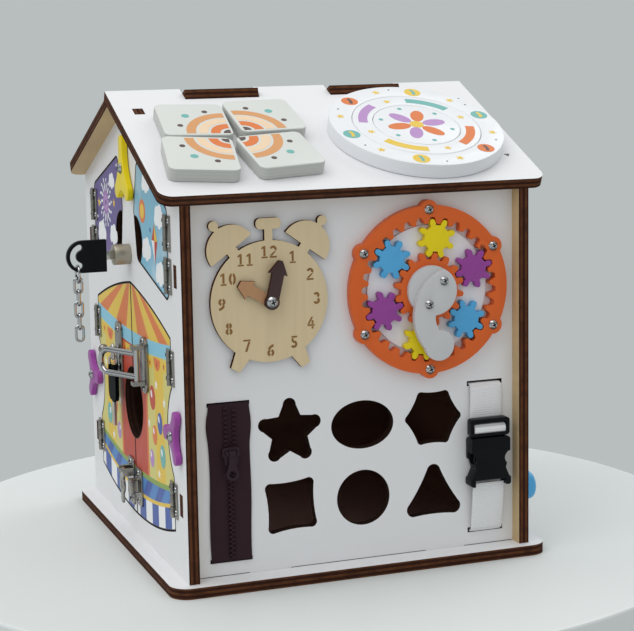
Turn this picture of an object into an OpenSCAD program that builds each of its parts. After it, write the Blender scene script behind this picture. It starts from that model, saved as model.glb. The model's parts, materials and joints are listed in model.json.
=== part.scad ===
// Activity house: a plywood play house with a clock, a planetary gear set, a shape sorter, a zip,
// a buckle, picture tiles, a turning dial and four hinged doors with a lock, a clasp and turn buttons.
// Millimetres. The origin is the centre of the base underside, +Z is up and the front wall faces -Y.

/* [House] */
// Distance between the outer faces of the two gables
house_w = 270; // [266:2:300]
// Depth of the gables from front edge to back edge
house_d = 296; // [292:2:320]
// Height of the gables at the eaves, above the base
eave_h = 273; // [270:1:290]
// Slope of the roof in degrees
roof_pitch = 23.2; // [22:0.2:26]
// Thickness of the plywood
ply = 8; // [7:0.5:9]
// Distance of the front and back walls behind the gable edges
wall_inset = 11.7; // [9:0.1:15]
// Overhang of the roof panels past the gables
roof_over = 13.8; // [8:0.2:20]
// Overhang of the base past the gable faces
base_over_x = 13.5; // [8:0.5:20]
// Overhang of the base past the gable edges
base_over_y = 8; // [4:0.5:12]
// Radius of the corners of the base
base_corner_r = 14; // [6:1:20]
// Radius of the lower corners of the roof panels
roof_corner_r = 10; // [4:1:16]
// Clearance round a tab in its slot
seam_gap = 0.1; // [0.05:0.05:0.2]
// Length of a wall tab in a gable
wall_tab_l = 16.5; // [12:0.5:20]
// Length of a tab in the base
base_tab_l = 30; // [20:1:40]
// Length of a gable tab in the roof
roof_tab_l = 10; // [8:0.5:12]

/* [Fits] */
// Gap between faces that turn past each other
run_gap = 0.3; // [0.2:0.05:0.5]
// Radial clearance of a turning bore
bore_gap = 0.06; // [0.03:0.01:0.1]
// Radius of a pivot screw's shaft
pivot_r = 2; // [1.6:0.1:2.4]
// Radius of a pivot screw's head
pivot_head_r = 4.2; // [3.6:0.1:5]
// Height of a screw head
screw_head_h = 2.2; // [1.6:0.1:3]

/* [Clock] */
// Share of the front's spare width that lies left of the clock
clock_share = 0.373; // [0.3:0.001:0.42]
// Height of the clock's centre above the base
clock_h = 200.5; // [190:0.5:206]
// Radius of the clock's face
clock_r = 44.2; // [40:0.2:46]
// Thickness of the clock's plate
clock_t = 4; // [3:0.5:6]
// Radius of a bell
bell_r = 18.5; // [15:0.5:20]
// Lean of a bell and its stem from the vertical
bell_angle = 36; // [30:1:42]
// Radius of the ball on a bell
bell_ball_r = 3.6; // [2.5:0.1:4.5]
// Lean of a foot from the vertical
foot_angle = 29; // [20:1:34]
// Thickness of a hand
hand_t = 3; // [2:0.5:4]
// Length of the hour hand
hour_l = 27.5; // [22:0.5:30]
// Length of the minute hand
minute_l = 30.5; // [26:0.5:38]

/* [Gear set] */
// Share of the front's spare width that lies right of the gear set
gear_share = 0.22; // [0.1:0.005:0.28]
// Height of the gear set's centre above the base
gear_h = 200.9; // [190:0.5:206]
// Module of the teeth
gear_module = 3.2; // [2.8:0.1:3.2]
// Teeth on the sun gear
sun_teeth = 16; // [16]
// Teeth on each planet
planet_teeth = 8; // [8]
// Number of planets
planet_count = 6; // [6]
// Thickness of the gears
gear_t = 5; // [4:0.5:7]
// Thickness of the planet carrier behind the gears
carrier_t = 1.5; // [1:0.1:2.5]
// Width of the ring gear's rim outside its teeth
ring_rim = 9; // [8:0.1:9.2]
// Radius of an ear on the ring
ear_r = 7; // [6:0.1:7.5]
// Radius of the disc on the sun gear
crank_disc_r = 18.5; // [16:0.5:19.5]
// Thickness of the disc on the sun gear
crank_disc_t = 4; // [3:0.5:6]
// Thickness of the crank handle
crank_handle_t = 5; // [4:0.5:7]

/* [Shape sorter] */
// Distance between the columns of holes
sorter_pitch_x = 57; // [55:0.5:60]
// Distance between the rows of holes
sorter_pitch_z = 55.5; // [52:0.5:58]
// Height of the middle of the sorter above the base
sorter_h = 74.8; // [72:0.2:78]
// Offset of the middle column from the middle of the wall
sorter_shift = 4; // [0:0.2:6]

/* [Zip] */
// Distance of the zip from the left gable's inner face
zip_from_side = 27.5; // [22:0.5:30]
// Width of the zip's tape
zip_tape_w = 31; // [28:1:34]
// Height of the zip's lower slot above the base
zip_low = 11.5; // [8:0.5:20]
// Length of the zip between its slots
zip_l = 116; // [100:1:120]
// Height of the slider above the lower slot
zip_slider_at = 78; // [40:1:90]
// Distance from one tooth to the next on one side
zip_pitch = 3.4; // [3:0.1:4]

/* [Strap and buckle] */
// Distance of the strap from the right gable's inner face
strap_from_side = 23.5; // [21:0.5:26]
// Width of the webbing
strap_w = 25; // [20:1:25]
// Thickness of the webbing
strap_t = 1.6; // [1.2:0.1:2]
// Height of the strap's lower slot above the base
strap_low = 12; // [8:0.5:16]
// Length of the strap between its slots
strap_l = 114; // [110:1:120]
// Height of the buckle's foot above the base
buckle_h = 48; // [44:0.5:52]

/* [Picture tiles] */
// Side of a tile
tile_w = 52; // [44:1:52]
// Thickness of a tile
tile_t = 10; // [6:0.5:14]
// Radius of a tile's corners
tile_corner_r = 6; // [3:0.5:9]

/* [Dial] */
// Radius of the dial
dial_r = 67.5; // [62:0.5:68]
// Radius of the middle ring
dial_middle_r = 49.5; // [45:0.5:52]
// Radius of the inner disc
dial_inner_r = 33.5; // [28:0.5:37]
// Thickness of the dial
dial_t = 11; // [9:0.5:14]
// Width of the step that holds each ring under the next
dial_step = 4; // [3:0.5:5]
// Radial gap between the dial's pieces
dial_gap = 0.4; // [0.3:0.05:0.6]

/* [Doors] */
// Distance of the hinged edges from the middle of the gable
door_edge = 114; // [112:0.5:114]
// Gap round a door in its opening
door_gap = 1.2; // [1:0.1:1.6]
// Height of the upper doors' top corner above the base
upper_top = 297; // [292:0.5:299]
// Height of the upper doors' outer shoulder above the base
upper_shoulder = 268; // [264:0.5:270]
// Height of the upper doors' foot above the base
upper_foot = 201; // [199:0.5:203]
// Half width of the strip between the upper doors, at its narrowest
strip_half = 18; // [17:0.5:20]
// Radius of the upper doors' corners
upper_corner_r = 6; // [4:0.5:8]
// Radius of the finger bite in an upper door
bite_r = 19; // [15:0.5:20]
// Height of the lower doors' peak above the base
lower_peak = 200; // [196:0.5:202]
// Fall of the lower doors' top from the peak to the hinged edge
lower_fall = 26; // [20:0.5:32]
// Slope of the lower doors' top beside the peak, in degrees
tent_slope = 7.3; // [6:0.1:8]
// Height of the lower doors' foot above the base
lower_foot = 16; // [12:0.5:20]
// Rise of the lower doors' bottom from the middle to the hinged edge
lower_rise = 16; // [10:0.5:20]
// Distance of the waist from the middle of the gable
waist_half = 100; // [98:0.5:102]
// Height of the waist and the finger hole above the base
waist_h = 105; // [100:0.5:110]
// Radius of the waist's curve
waist_r = 46; // [42:0.5:50]
// Radius of the finger hole between the lower doors
finger_hole_r = 28; // [22:0.5:30]

/* [Hinges] */
// Length of a hinge
leaf_l = 26; // [22:0.5:28]
// Width of a hinge leaf
leaf_w = 9; // [7:0.5:10]
// Thickness of a hinge leaf
leaf_t = 1; // [0.8:0.1:1.2]
// Radius of a hinge knuckle
knuckle_r = 1.7; // [1.5:0.1:2]
// Radius of a hinge pin
pin_r = 0.8; // [0.6:0.1:1]

/* [Turn buttons] */
// Thickness of a turn button
button_t = 4.5; // [4:0.5:7]
// Distance of the purple buttons' pivots from the middle of the gable
button_y = 126; // [125:0.5:128]
// Reach of a purple button's arms to the middle of their round ends
button_reach = 16.5; // [13:0.5:16.5]
// Radius of the purple button's round ends
button_tip_r = 5.5; // [4:0.5:5.5]
// Distance of the yellow button's pivot below the ridge
top_button_drop = 47.4; // [46:0.2:50]

/* [Lock and catches] */
// Height of the lock above the base
lock_h = 222.5; // [218:0.5:226]
// Radius of the lock's barrel
barrel_r = 8; // [7:0.5:9]
// How far the barrel stands out of the gable
barrel_out = 13; // [10:0.5:15]
// Number of links in the key chain
chain_links = 5; // [3:1:5]
// Height of the door guard above the base
guard_h = 142; // [138:0.5:142]
// Distance of the guard plates from the middle of the gable
guard_y = 40; // [38:0.5:44]
// Height of the clasp above the base
clasp_h = 40; // [37:0.5:44]
// Height of the side knob above the base
knob_h = 37; // [32:0.5:60]
// Radius of the side knob
knob_r = 11; // [9:0.5:13]

/* [Hidden] */
$fn = 96;
arc_fn = 240;
oval_fn = 72;
arm_tuck = 0.05;
planet_names = ["planet_top_yellow", "planet_left_blue", "planet_left_purple",
    "planet_bottom_yellow", "planet_right_blue", "planet_right_purple"];
tile_names = ["tile_upper_left", "tile_upper_right", "tile_lower_left", "tile_lower_right"];

// House
gable_x = house_w / 2;
inner_x = gable_x - ply;
base_top = ply;
wall_y = house_d / 2 - wall_inset;
eave_z = base_top + eave_h;
ridge_z = eave_z + house_d / 2 * tan(roof_pitch);
roof_w = house_w + 2 * roof_over;
roof_l = (house_d / 2 + ply / (2 * sin(roof_pitch))) / cos(roof_pitch);
wall_top = eave_z + wall_inset * tan(roof_pitch) - 0.2;
finger_count = 5;
finger_w = roof_w / finger_count;
wall_tab_z = [base_top + 54.8, base_top + 221.5];
base_tab_at = 70;
roof_tab_s = [135];
tab_short = 0.2;
cut = 1;

// Clock
hour_turn = 58.8;
minute_turn = -13.2;
hour_in = clock_t + run_gap;
minute_in = hour_in + hand_t + run_gap;
clock_head_in = minute_in + hand_t + run_gap;
bell_flat = clock_r + 3.2;
bell_stem_w = 8;

// Gear set
ring_teeth = sun_teeth + 2 * planet_teeth;
planet_phase = 80.8;
sun_phase = 12.3;
pressure_angle = 22;
tooth_share = 0.44;
tooth_ease = 0.5;
sun_r = gear_module * sun_teeth / 2;
planet_r = gear_module * planet_teeth / 2;
ring_pitch_r = gear_module * ring_teeth / 2;
carrier_r = sun_r + planet_r;
addendum = 0.66 * gear_module;
dedendum = 0.88 * gear_module;
ring_root_r = ring_pitch_r + dedendum;
ring_r = ring_root_r + ring_rim;
carrier_clear = 1.5;
carrier_disc_r = ring_pitch_r - addendum - carrier_clear;

// Places of the clock and the gear set on the front
bell_reach = 2.1;
clock_reach = clock_r + bell_reach;
front_spare = 2 * inner_x - 2 * clock_reach - 2 * ring_r;
clock_at = [clock_share * front_spare + clock_reach - inner_x, base_top + clock_h];
gear_at = [inner_x - ring_r - gear_share * front_spare, base_top + gear_h];

// Ring's ears and the layers of the gear set
ear_at = ring_r - 3.2;
ear_screw_r = 1.6;
ear_head_r = 3.7;
ring_phase = planet_phase + (180 - (sun_phase - planet_phase) * sun_teeth / planet_teeth) * planet_teeth / ring_teeth;
carrier_in = run_gap;
gear_in = carrier_in + carrier_t + run_gap;
gear_out = gear_in + gear_t;
disc_out = gear_out + crank_disc_t;
handle_out = disc_out + crank_handle_t;
axle_r = 4;
planet_pin_r = 2;
planet_pin_l = gear_t - 1;
crank_screw_at = [[7.8, 7.4], [-4.2, -9.5]];
crank_screw_r = 1.5;
crank_head_r = 3.5;

// Shape sorter
sorter_z = base_top + sorter_h;
sorter_x = [sorter_shift - sorter_pitch_x, sorter_shift, sorter_shift + sorter_pitch_x];
oval_a = 24.7;
oval_b = 18.2;

// Zip
zip_x = -inner_x + zip_from_side;
zip_z = base_top + zip_low;
zip_slider_z = zip_z + zip_slider_at;
tape_in = 0.3;
tape_out = 1.3;
tooth_out = 3.3;
tooth_w = 2.9;
tooth_h = 1.5;
open_gap = 3;
slot_h = 3;
slider_in = tooth_out + run_gap;
slider_out = slider_in + 1.6;
slider_w = 13.4;
slider_h = 14;
pull_pin_r = 0.9;
pull_eye_r = 2;
pull_pin_out = slider_out + pull_eye_r + 0.2;
pull_pin_z = zip_slider_z + 3;
pull_t = 1.6;
pull_neck_l = 8;
pull_tab_at = 15.5;
pull_tab_r = 4.8;

// Strap and buckle
strap_x = inner_x - strap_from_side;
strap_z = base_top + strap_low;
strap_slot_w = strap_w + 4;
strap_slot_h = 3.8;
strap_in = 1.6;
buckle_z = base_top + buckle_h;
buckle_in = 1.2;
buckle_out = 12.2;
buckle_w = strap_w + 7;
flare_w = strap_w + 8;
waist_w = strap_w - 0.5;
socket_h = 37.5;
cavity_in = 3.9;
cavity_out = 9.5;
cavity_w = strap_w + 0.5;
cavity_floor = 14.5;
window_at = 21;
window_r = 5.5;
prong_gap = 0.4;
plug_frame_h = 13.5;
plug_frame_in = strap_in + strap_t + 0.4;
strap_end_in = 5.6;

// Tiles, as [x, distance up the slope, turn]
tile_places = [[-99, 98.5, -4], [-43, 102, 2.7], [-108.5, 44, -8], [-48, 45, 6.5]];
tile_lift = 0.2;
magnet_r = 5;
magnet_h = 3;
magnet_gap = 0.05;

// Dial
dial_at = [70.5, 74];
dial_lip_t = dial_t / 2;
dial_pin_r = 3;
dial_pin_l = dial_t - 3;

// Doors, in (y, z) on the left gable
hinge_y = door_edge + door_gap / 2;
pin_out = knuckle_r + 0.2;
upper_points = [
    [30, base_top + upper_top],
    [strip_half, base_top + upper_foot + 57],
    [25, base_top + upper_foot + 21],
    [door_edge, base_top + upper_foot],
    [door_edge, base_top + upper_shoulder]];
bite_at = [22, base_top + upper_foot + 34];
upper_hinge_z = [base_top + upper_foot + 19, base_top + upper_foot + 50];
lower_peak_z = base_top + lower_peak;
lower_foot_z = base_top + lower_foot;
waist_z = base_top + waist_h;
tent_r = norm([door_edge, lower_fall]) / (2 * sin(atan(lower_fall / door_edge) - tent_slope));
sole_r = (pow(door_edge, 2) + pow(lower_rise, 2)) / (2 * lower_rise);
split_half = door_gap / 2;
lower_hinge_z = [lower_foot_z + 39, lower_foot_z + 137];
knuckle_l = leaf_l / 3;
leaf_clear = 0.4;
knuckle_gap = 0.15;

// Turn buttons
button_in = 0.5;
button_out = button_in + button_t;
button_z = waist_z;
top_button_z = ridge_z - top_button_drop;
button_angles = [60, 180, 300];
button_sag = 4.5;
top_reach = 19.5;
top_low_reach = 23.2;
top_tip_r = 6.2;
top_angles = [90, 230, 310];

// Lock, key and chain
lock_z = base_top + lock_h;
neck_r = barrel_r - 1.6;
plug_r = barrel_r - 3.5;
nut_t = 5;
nut_r = barrel_r + 3;
cam_t = 2;
cam_l = 30;
cam_w = 10;
plug_in = ply + nut_t + 3;
keyway_w = 2.4;
keyway_h = 7;
keyway_l = barrel_out + 8;
blade_gap = 0.2;
key_head_in = barrel_out + 5.5;
key_head_l = 31;
key_head_r = 12.5;
key_head_t = 4.5;
panel_rim = 1.2;
panel_deep = 0.5;
panel_l = 11;
crescent_r = 7.5;
crescent_w = 5;
crescent_angle = 70;
wire_r = 1.1;
link_r = 2.9;
link_s = 6;
link_gap = 0.3;
link_pitch = link_s + 2 * link_r - 2 * wire_r - link_gap;
ring_wire_r = 1;
ring_loop_r = 6.5;
key_ring_out = key_head_in + key_head_l - key_head_r + 4.1;
key_ring_z = lock_z - 13.3;
first_link_z = key_ring_z - ring_loop_r + ring_wire_r + wire_r + link_gap - link_s / 2 - link_r + wire_r;

// Door guard, spare key and clasp
guard_z = base_top + guard_h;
guard_plate_w = 20;
guard_plate_h = 43;
guard_plate_t = 2;
guard_pin_out = 7;
guard_pin_r = 2;
guard_leg_r = 2.2;
guard_leg_l = 32;
guard_bow_r = 9;
guard_lean = 62;
lug_t = 3;
lug_at = guard_bow_r + guard_leg_r + 1.2;
stud_r = 1.6;
stud_ball_r = 4;
stud_l = 11;
spare_out = 6.5;
spare_link_z = guard_z + stud_r + link_gap - link_s / 2 - link_r + wire_r;
spare_hole_r = 2.6;
spare_drop = 0.7;
spare_hole_z = spare_link_z - link_pitch - link_s / 2 - link_r + wire_r + link_gap + spare_drop - spare_hole_r;
spare_t = 3;
spare_w = 24;
spare_h = 30;
spare_blade_l = 20;
spare_blade_w = 7;
clasp_z = base_top + clasp_h;
clasp_from_split = 3;
clasp_w = 18;
clasp_plate_t = 1.5;
clasp_pin_out = 7.2;
clasp_pin_r = 1.2;
clasp_ear_t = 2;
clasp_eye_r = 2.4;
lever_boss_at = 11;
lever_boss_r = 7.6;
lever_tip_w = 7;
lever_l = 15;

// Side knob
knob_at = [30 - house_d / 2, base_top + knob_h];
knob_neck = 5;
knob_t = 12.5;
knob_round = 4;

// Points and outlines
function unit(v) = v / norm(v);
function polar(r, a) = [r * cos(a), r * sin(a)];
function left_of(v) = [-v[1], v[0]];
function inset_corner(before, at, after, r) =
    let (a = unit(before - at), b = unit(after - at), half_sin = sqrt((1 - a * b) / 2))
    at + unit(a + b) * r / half_sin;
function inset_points(points, r) =
    let (n = len(points))
    [for (i = [0:n - 1]) inset_corner(points[(i + n - 1) % n], points[i], points[(i + 1) % n], r)];
function edge_out(a, b) = -left_of(unit(b - a));

// A convex outline, listed anticlockwise, with every corner rounded, and grown by an even margin
module rounded_polygon(points, r, grow = 0) {
    centres = inset_points(points, r);
    n = len(centres);
    polygon([for (i = [0:n - 1]) for (e = [0, 1])
        centres[i] + (r + grow) * edge_out(centres[(i + n - 1 + e) % n], centres[(i + e) % n])]);
    for (c = centres) translate(c) circle(r + grow);
}

module rounded_rect(w, h, r) {
    square([w - 2 * r, h], center = true);
    square([w, h - 2 * r], center = true);
    for (x = [-1, 1], y = [-1, 1]) translate([x * (w / 2 - r), y * (h / 2 - r)]) circle(r);
}

// Arms with round ends, joined by hollow curves
module arm_star(angles, reaches, tip_r, sag) {
    n = len(angles);
    tips = [for (i = [0:n - 1]) polar(reaches[i], angles[i])];
    sides = [for (i = [0:n - 1]) (tip_r - arm_tuck) * left_of(polar(1, angles[i]))];
    difference() {
        polygon([for (i = [0:n - 1]) each [tips[i] - sides[i], tips[i] + sides[i]]]);
        for (i = [0:n - 1]) {
            a = tips[i] + sides[i];
            b = tips[(i + 1) % n] - sides[(i + 1) % n];
            half = norm(b - a) / 2;
            r = (half * half + sag * sag) / (2 * sag);
            translate((a + b) / 2 + (r - sag) * edge_out(a, b)) circle(r);
        }
    }
    for (t = tips) translate(t) circle(tip_r);
}

// An outline, listed anticlockwise, with round corners and sides that bow in a little
module wavy_polygon(points, tip_r, sag) {
    n = len(points);
    outs = [for (i = [0:n - 1]) (tip_r - arm_tuck) * edge_out(points[i], points[(i + 1) % n])];
    difference() {
        polygon([for (i = [0:n - 1]) each [points[i] + outs[i], points[(i + 1) % n] + outs[i]]]);
        for (i = [0:n - 1]) {
            a = points[i] + outs[i];
            b = points[(i + 1) % n] + outs[i];
            half = norm(b - a) / 2;
            r = (half * half + sag * sag) / (2 * sag);
            translate((a + b) / 2 + (r - sag) * edge_out(a, b)) circle(r);
        }
    }
    for (p = points) translate(p) circle(tip_r);
}

// A star with straight sides and round points
module round_star(n, reach, tip_r, inner_r, turn) {
    polygon([for (i = [0:n - 1]) let (a = turn + 360 / n * i) each [
        polar(inner_r, a - 180 / n),
        polar(reach, a) - (tip_r - arm_tuck) * left_of(polar(1, a)),
        polar(reach, a) + (tip_r - arm_tuck) * left_of(polar(1, a))]]);
    for (i = [0:n - 1]) translate(polar(reach, turn + 360 / n * i)) circle(tip_r);
}

// An ellipse with half axes a and b
module oval(a, b) {
    polygon([for (t = [0:360 / oval_fn:359]) [a * cos(t), b * sin(t)]]);
}

// Sheets on the faces of the house, between two distances out of the face
module front_sheet(inner, outer) {
    translate([0, -wall_y - inner, 0]) rotate([90, 0, 0]) linear_extrude(outer - inner) children();
}

module left_sheet(inner, outer) {
    translate([-gable_x - outer, 0, 0]) rotate([90, 0, 90]) linear_extrude(outer - inner) children();
}

module on_roof() {
    translate([0, -house_d / 2, eave_z]) rotate([roof_pitch, 0, 0]) children();
}

module roof_sheet(inner, outer) {
    on_roof() translate([0, 0, ply + inner]) linear_extrude(outer - inner) children();
}

module mirror_y() {
    mirror([0, 1, 0]) children();
}

// A domed screw head with its shaft below, standing on the plane z = 0
module screw(shaft_r, shaft_l, head_r, head_h = screw_head_h) {
    dome_r = (head_r * head_r + head_h * head_h) / (2 * head_h);
    rotate_extrude() intersection() {
        translate([0, head_h - dome_r]) circle(dome_r);
        square([head_r, head_h]);
    }
    translate([0, 0, -shaft_l]) cylinder(r = shaft_r, h = shaft_l);
}

module front_axis(at, out) {
    translate([at[0], -wall_y - out, at[1]]) rotate([90, 0, 0]) children();
}

module left_axis(at, out) {
    translate([-gable_x - out, at[0], at[1]]) rotate([0, -90, 0]) children();
}

// Plywood shell
module base_slots() {
    for (x = [-1, 1], y = [-1, 1]) {
        translate([x * (gable_x - ply / 2), y * base_tab_at])
            square([ply + 2 * seam_gap, base_tab_l + 2 * seam_gap], center = true);
        translate([x * base_tab_at, y * (wall_y - ply / 2)])
            square([base_tab_l + 2 * seam_gap, ply + 2 * seam_gap], center = true);
    }
}

module base_plate() {
    color("white") linear_extrude(ply) difference() {
        rounded_rect(house_w + 2 * base_over_x, house_d + 2 * base_over_y, base_corner_r);
        base_slots();
    }
}

module base_tabs() {
    for (at = [-base_tab_at, base_tab_at])
        translate([at - base_tab_l / 2, tab_short]) square([base_tab_l, base_top - tab_short + cut]);
}

// A wall between the gables, in (x, z), with its tabs
module wall_outline() {
    translate([-inner_x, base_top]) square([2 * inner_x, wall_top - base_top]);
    for (x = [-1, 1], z = wall_tab_z)
        translate([x * (inner_x + (ply - tab_short) / 2), z])
            square([ply - tab_short, wall_tab_l], center = true);
    base_tabs();
}

module sorter_holes() {
    low = sorter_z - sorter_pitch_z / 2;
    high = sorter_z + sorter_pitch_z / 2;
    translate([sorter_x[0], high]) round_star(5, 20.2, 5, 14.5, 90);
    translate([sorter_x[1], high]) oval(oval_a, oval_b);
    translate([sorter_x[2], high]) wavy_polygon([for (a = [0:60:300]) polar(19.3, a)], 3.5, 0.9);
    translate([sorter_x[0], low]) rotate(4)
        wavy_polygon([for (a = [45:90:315]) polar(21.2, a)], 4, 1.2);
    translate([sorter_x[1], low]) circle(21);
    translate([sorter_x[2], low - 4.9]) wavy_polygon([for (a = [90, 210, 330]) polar(18.9, a)], 5.6, 1);
}

module front_slots() {
    for (z = [zip_z, zip_z + zip_l]) translate([zip_x, z]) square([zip_tape_w + 1.2, slot_h], center = true);
    for (z = [strap_z, strap_z + strap_l])
        translate([strap_x, z]) square([strap_slot_w, strap_slot_h], center = true);
}

module front_holes() {
    translate(clock_at) circle(pivot_r + seam_gap);
    translate(gear_at) circle(axle_r + seam_gap);
    for (i = [0:planet_count - 1])
        translate(gear_at + polar(ear_at, 90 + 360 / planet_count * i)) circle(ear_screw_r + seam_gap);
}

module front_wall() {
    color("white") front_sheet(-ply, 0) difference() {
        wall_outline();
        sorter_holes();
        front_slots();
        front_holes();
    }
}

module back_wall() {
    color("white") mirror_y() front_sheet(-ply, 0) wall_outline();
}

// A gable in (y, z), with its tabs
module gable_outline() {
    polygon([[-house_d / 2, base_top], [house_d / 2, base_top], [house_d / 2, eave_z], [0, ridge_z],
        [-house_d / 2, eave_z]]);
    base_tabs();
    for (side = [0, 1], s = roof_tab_s) mirror([side, 0])
        translate([-house_d / 2, eave_z]) rotate(roof_pitch)
            translate([s - roof_tab_l / 2, -cut]) square([roof_tab_l, ply - tab_short + cut]);
}

module wall_slots() {
    for (y = [-1, 1], z = wall_tab_z) translate([y * (wall_y - ply / 2), z])
        square([ply + 2 * seam_gap, wall_tab_l + 2 * seam_gap], center = true);
}

module upper_outline(grow = 0) {
    rounded_polygon(upper_points, upper_corner_r, grow);
}

// The tent's top: where the discs of its two arcs overlap
module tent_top(grow) {
    intersection_for (side = [-1, 1])
        translate([side * tent_r * sin(tent_slope), lower_peak_z - tent_r * cos(tent_slope)])
            circle(tent_r + grow, $fn = arc_fn);
}

module lower_outline(grow = 0) {
    difference() {
        intersection() {
            tent_top(grow);
            translate([0, lower_foot_z + sole_r]) circle(sole_r + grow, $fn = arc_fn);
            translate([-door_edge - grow, 0]) square([2 * (door_edge + grow), eave_z]);
        }
        for (y = [-1, 1]) translate([y * (waist_half + waist_r), waist_z]) circle(waist_r - grow);
    }
}

module left_gable() {
    color("white") left_sheet(-ply, 0) difference() {
        gable_outline();
        wall_slots();
        upper_outline(door_gap);
        mirror([1, 0]) upper_outline(door_gap);
        lower_outline(door_gap);
        translate([0, lock_z]) circle(neck_r + seam_gap);
        translate([0, top_button_z]) circle(pivot_r + seam_gap);
        for (y = [-1, 1]) translate([y * button_y, button_z]) circle(pivot_r + seam_gap);
    }
}

module right_gable() {
    color("white") mirror([1, 0, 0]) left_sheet(-ply, 0) difference() {
        gable_outline();
        wall_slots();
        translate(knob_at) circle(pivot_r + seam_gap);
    }
}

// Roof panels: the fingers of each one pass through the notches of the other along the ridge
module roof_outline() {
    translate([-roof_w / 2, roof_corner_r]) square([roof_w, roof_l - roof_corner_r]);
    translate([-roof_w / 2 + roof_corner_r, 0]) square([roof_w - 2 * roof_corner_r, roof_corner_r]);
    for (x = [-1, 1]) translate([x * (roof_w / 2 - roof_corner_r), roof_corner_r]) circle(roof_corner_r);
}

module roof_slab() {
    on_roof() linear_extrude(ply) difference() {
        roof_outline();
        for (x = [-1, 1], s = roof_tab_s) translate([x * (gable_x - ply / 2), s])
            square([ply + 2 * seam_gap, roof_tab_l + 2 * seam_gap], center = true);
    }
}

module ridge_cut(first) {
    for (i = [first:2:finger_count - 1])
        translate([-roof_w / 2 + finger_w * i - seam_gap, 0, 0]) mirror_y() on_roof()
            translate([0, roof_l - 4 * ply, 0]) cube([finger_w + 2 * seam_gap, 8 * ply, 4 * ply]);
}

module roof_front_panel() {
    color("white") difference() {
        roof_slab();
        ridge_cut(1);
        on_roof() translate([dial_at[0], dial_at[1], -cut]) cylinder(r = dial_pin_r + seam_gap, h = ply + 2 * cut);
    }
}

module roof_back_panel() {
    color("white") mirror_y() difference() {
        roof_slab();
        ridge_cut(0);
    }
}

// Clock
module bell() {
    rotate(bell_angle) {
        translate([0, bell_flat]) intersection() {
            circle(bell_r);
            translate([-bell_r, 0]) square(2 * bell_r);
        }
        translate([-bell_stem_w / 2, clock_r - 2]) square([bell_stem_w, bell_flat - clock_r + 3]);
        translate([-2, bell_flat + bell_r - 1]) square([4, 3]);
        translate([0, bell_flat + bell_r + bell_ball_r]) circle(bell_ball_r);
    }
}

module clock_outline() {
    circle(clock_r);
    for (side = [0, 1]) mirror([side, 0]) {
        bell();
        rotate(180 - foot_angle)
            polygon([[-6.6, clock_r - 4], [6.6, clock_r - 4], [3.7, clock_r + 11.2], [-3.7, clock_r + 11.2]]);
    }
    translate([-3, clock_r - 2]) square([6, 11]);
    translate([0, clock_r + 12]) rounded_rect(19, 8, 3.5);
}

module clock_face() {
    color("burlywood") front_sheet(0, clock_t) translate(clock_at) difference() {
        clock_outline();
        circle(pivot_r + seam_gap);
    }
}

// An arrow-shaped hand that points up from its pivot
module hand(l, shaft_w, head_w, head_l, tip_w, hub_r) {
    neck = l - head_l;
    difference() {
        union() {
            circle(hub_r);
            polygon([[-shaft_w / 2, 0], [shaft_w / 2, 0], [shaft_w / 2, neck], [head_w / 2, neck],
                [tip_w / 2, l], [-tip_w / 2, l], [-head_w / 2, neck], [-shaft_w / 2, neck]]);
        }
        circle(pivot_r + bore_gap);
    }
}

module hour_hand() {
    color("tan") front_sheet(hour_in, hour_in + hand_t) translate(clock_at)
        rotate(hour_turn) hand(hour_l, 8, 14.5, 9.5, 5, 5);
}

module minute_hand() {
    color("saddlebrown") front_sheet(minute_in, minute_in + hand_t) translate(clock_at)
        rotate(minute_turn) hand(minute_l, 9, 14.5, 10, 3, 5.4);
}

// Gears: involute teeth, with the outline running up one flank of a tooth and down the other
function involute(a) = tan(a) * 180 / PI - a;
function tooth_half(r, pitch_r, teeth, side) =
    let (base_r = pitch_r * cos(pressure_angle))
    tooth_share * 180 / teeth + side * (involute(pressure_angle) - involute(acos(min(1, base_r / r))));
function tooth_edge(r, pitch_r, teeth, side, tip) =
    tooth_half(r, pitch_r, teeth, side) - (r == tip ? tooth_ease / r * 180 / PI : 0);
function gear_points(teeth, pitch_r, radii, side, phase) =
    let (n = len(radii), tip = radii[n - 1])
    [for (k = [0:teeth - 1]) let (a = phase + 360 / teeth * k) each concat(
        [for (r = radii) polar(r, a - tooth_edge(r, pitch_r, teeth, side, tip))],
        [for (i = [n - 1:-1:0]) polar(radii[i], a + tooth_edge(radii[i], pitch_r, teeth, side, tip))])];

module outer_gear(teeth, phase) {
    r = gear_module * teeth / 2;
    polygon(gear_points(teeth, r, [r - dedendum, r - addendum / 2, r, r + addendum / 2,
        r + addendum - tooth_ease, r + addendum], 1, phase));
}

module ring_teeth_hole() {
    r = ring_pitch_r;
    polygon(gear_points(ring_teeth, r, [r + dedendum, r + addendum / 2, r, r - addendum + tooth_ease,
        r - addendum], -1, ring_phase));
}

module ring_gear() {
    color("orangered") front_sheet(0, gear_out) translate(gear_at) difference() {
        union() {
            circle(ring_r);
            for (i = [0:planet_count - 1]) translate(polar(ear_at, 90 + 360 / planet_count * i)) circle(ear_r);
        }
        ring_teeth_hole();
        for (i = [0:planet_count - 1])
            translate(polar(ear_at, 90 + 360 / planet_count * i)) circle(ear_screw_r + seam_gap);
    }
}

module ring_screws() {
    color("silver") for (i = [0:planet_count - 1])
        front_axis(gear_at + polar(ear_at, 90 + 360 / planet_count * i), gear_out)
            screw(ear_screw_r, gear_out + ply - 1, ear_head_r);
}

module crank_screw_holes() {
    for (p = crank_screw_at) translate(p) circle(crank_screw_r + seam_gap);
}

module sun_gear() {
    color("orangered") front_sheet(gear_in, gear_out) translate(gear_at) difference() {
        outer_gear(sun_teeth, sun_phase);
        circle(axle_r + bore_gap);
        crank_screw_holes();
    }
}

module crank_disc() {
    color("lightgray") front_sheet(gear_out, disc_out) translate(gear_at) difference() {
        circle(crank_disc_r);
        crank_screw_holes();
    }
}

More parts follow.
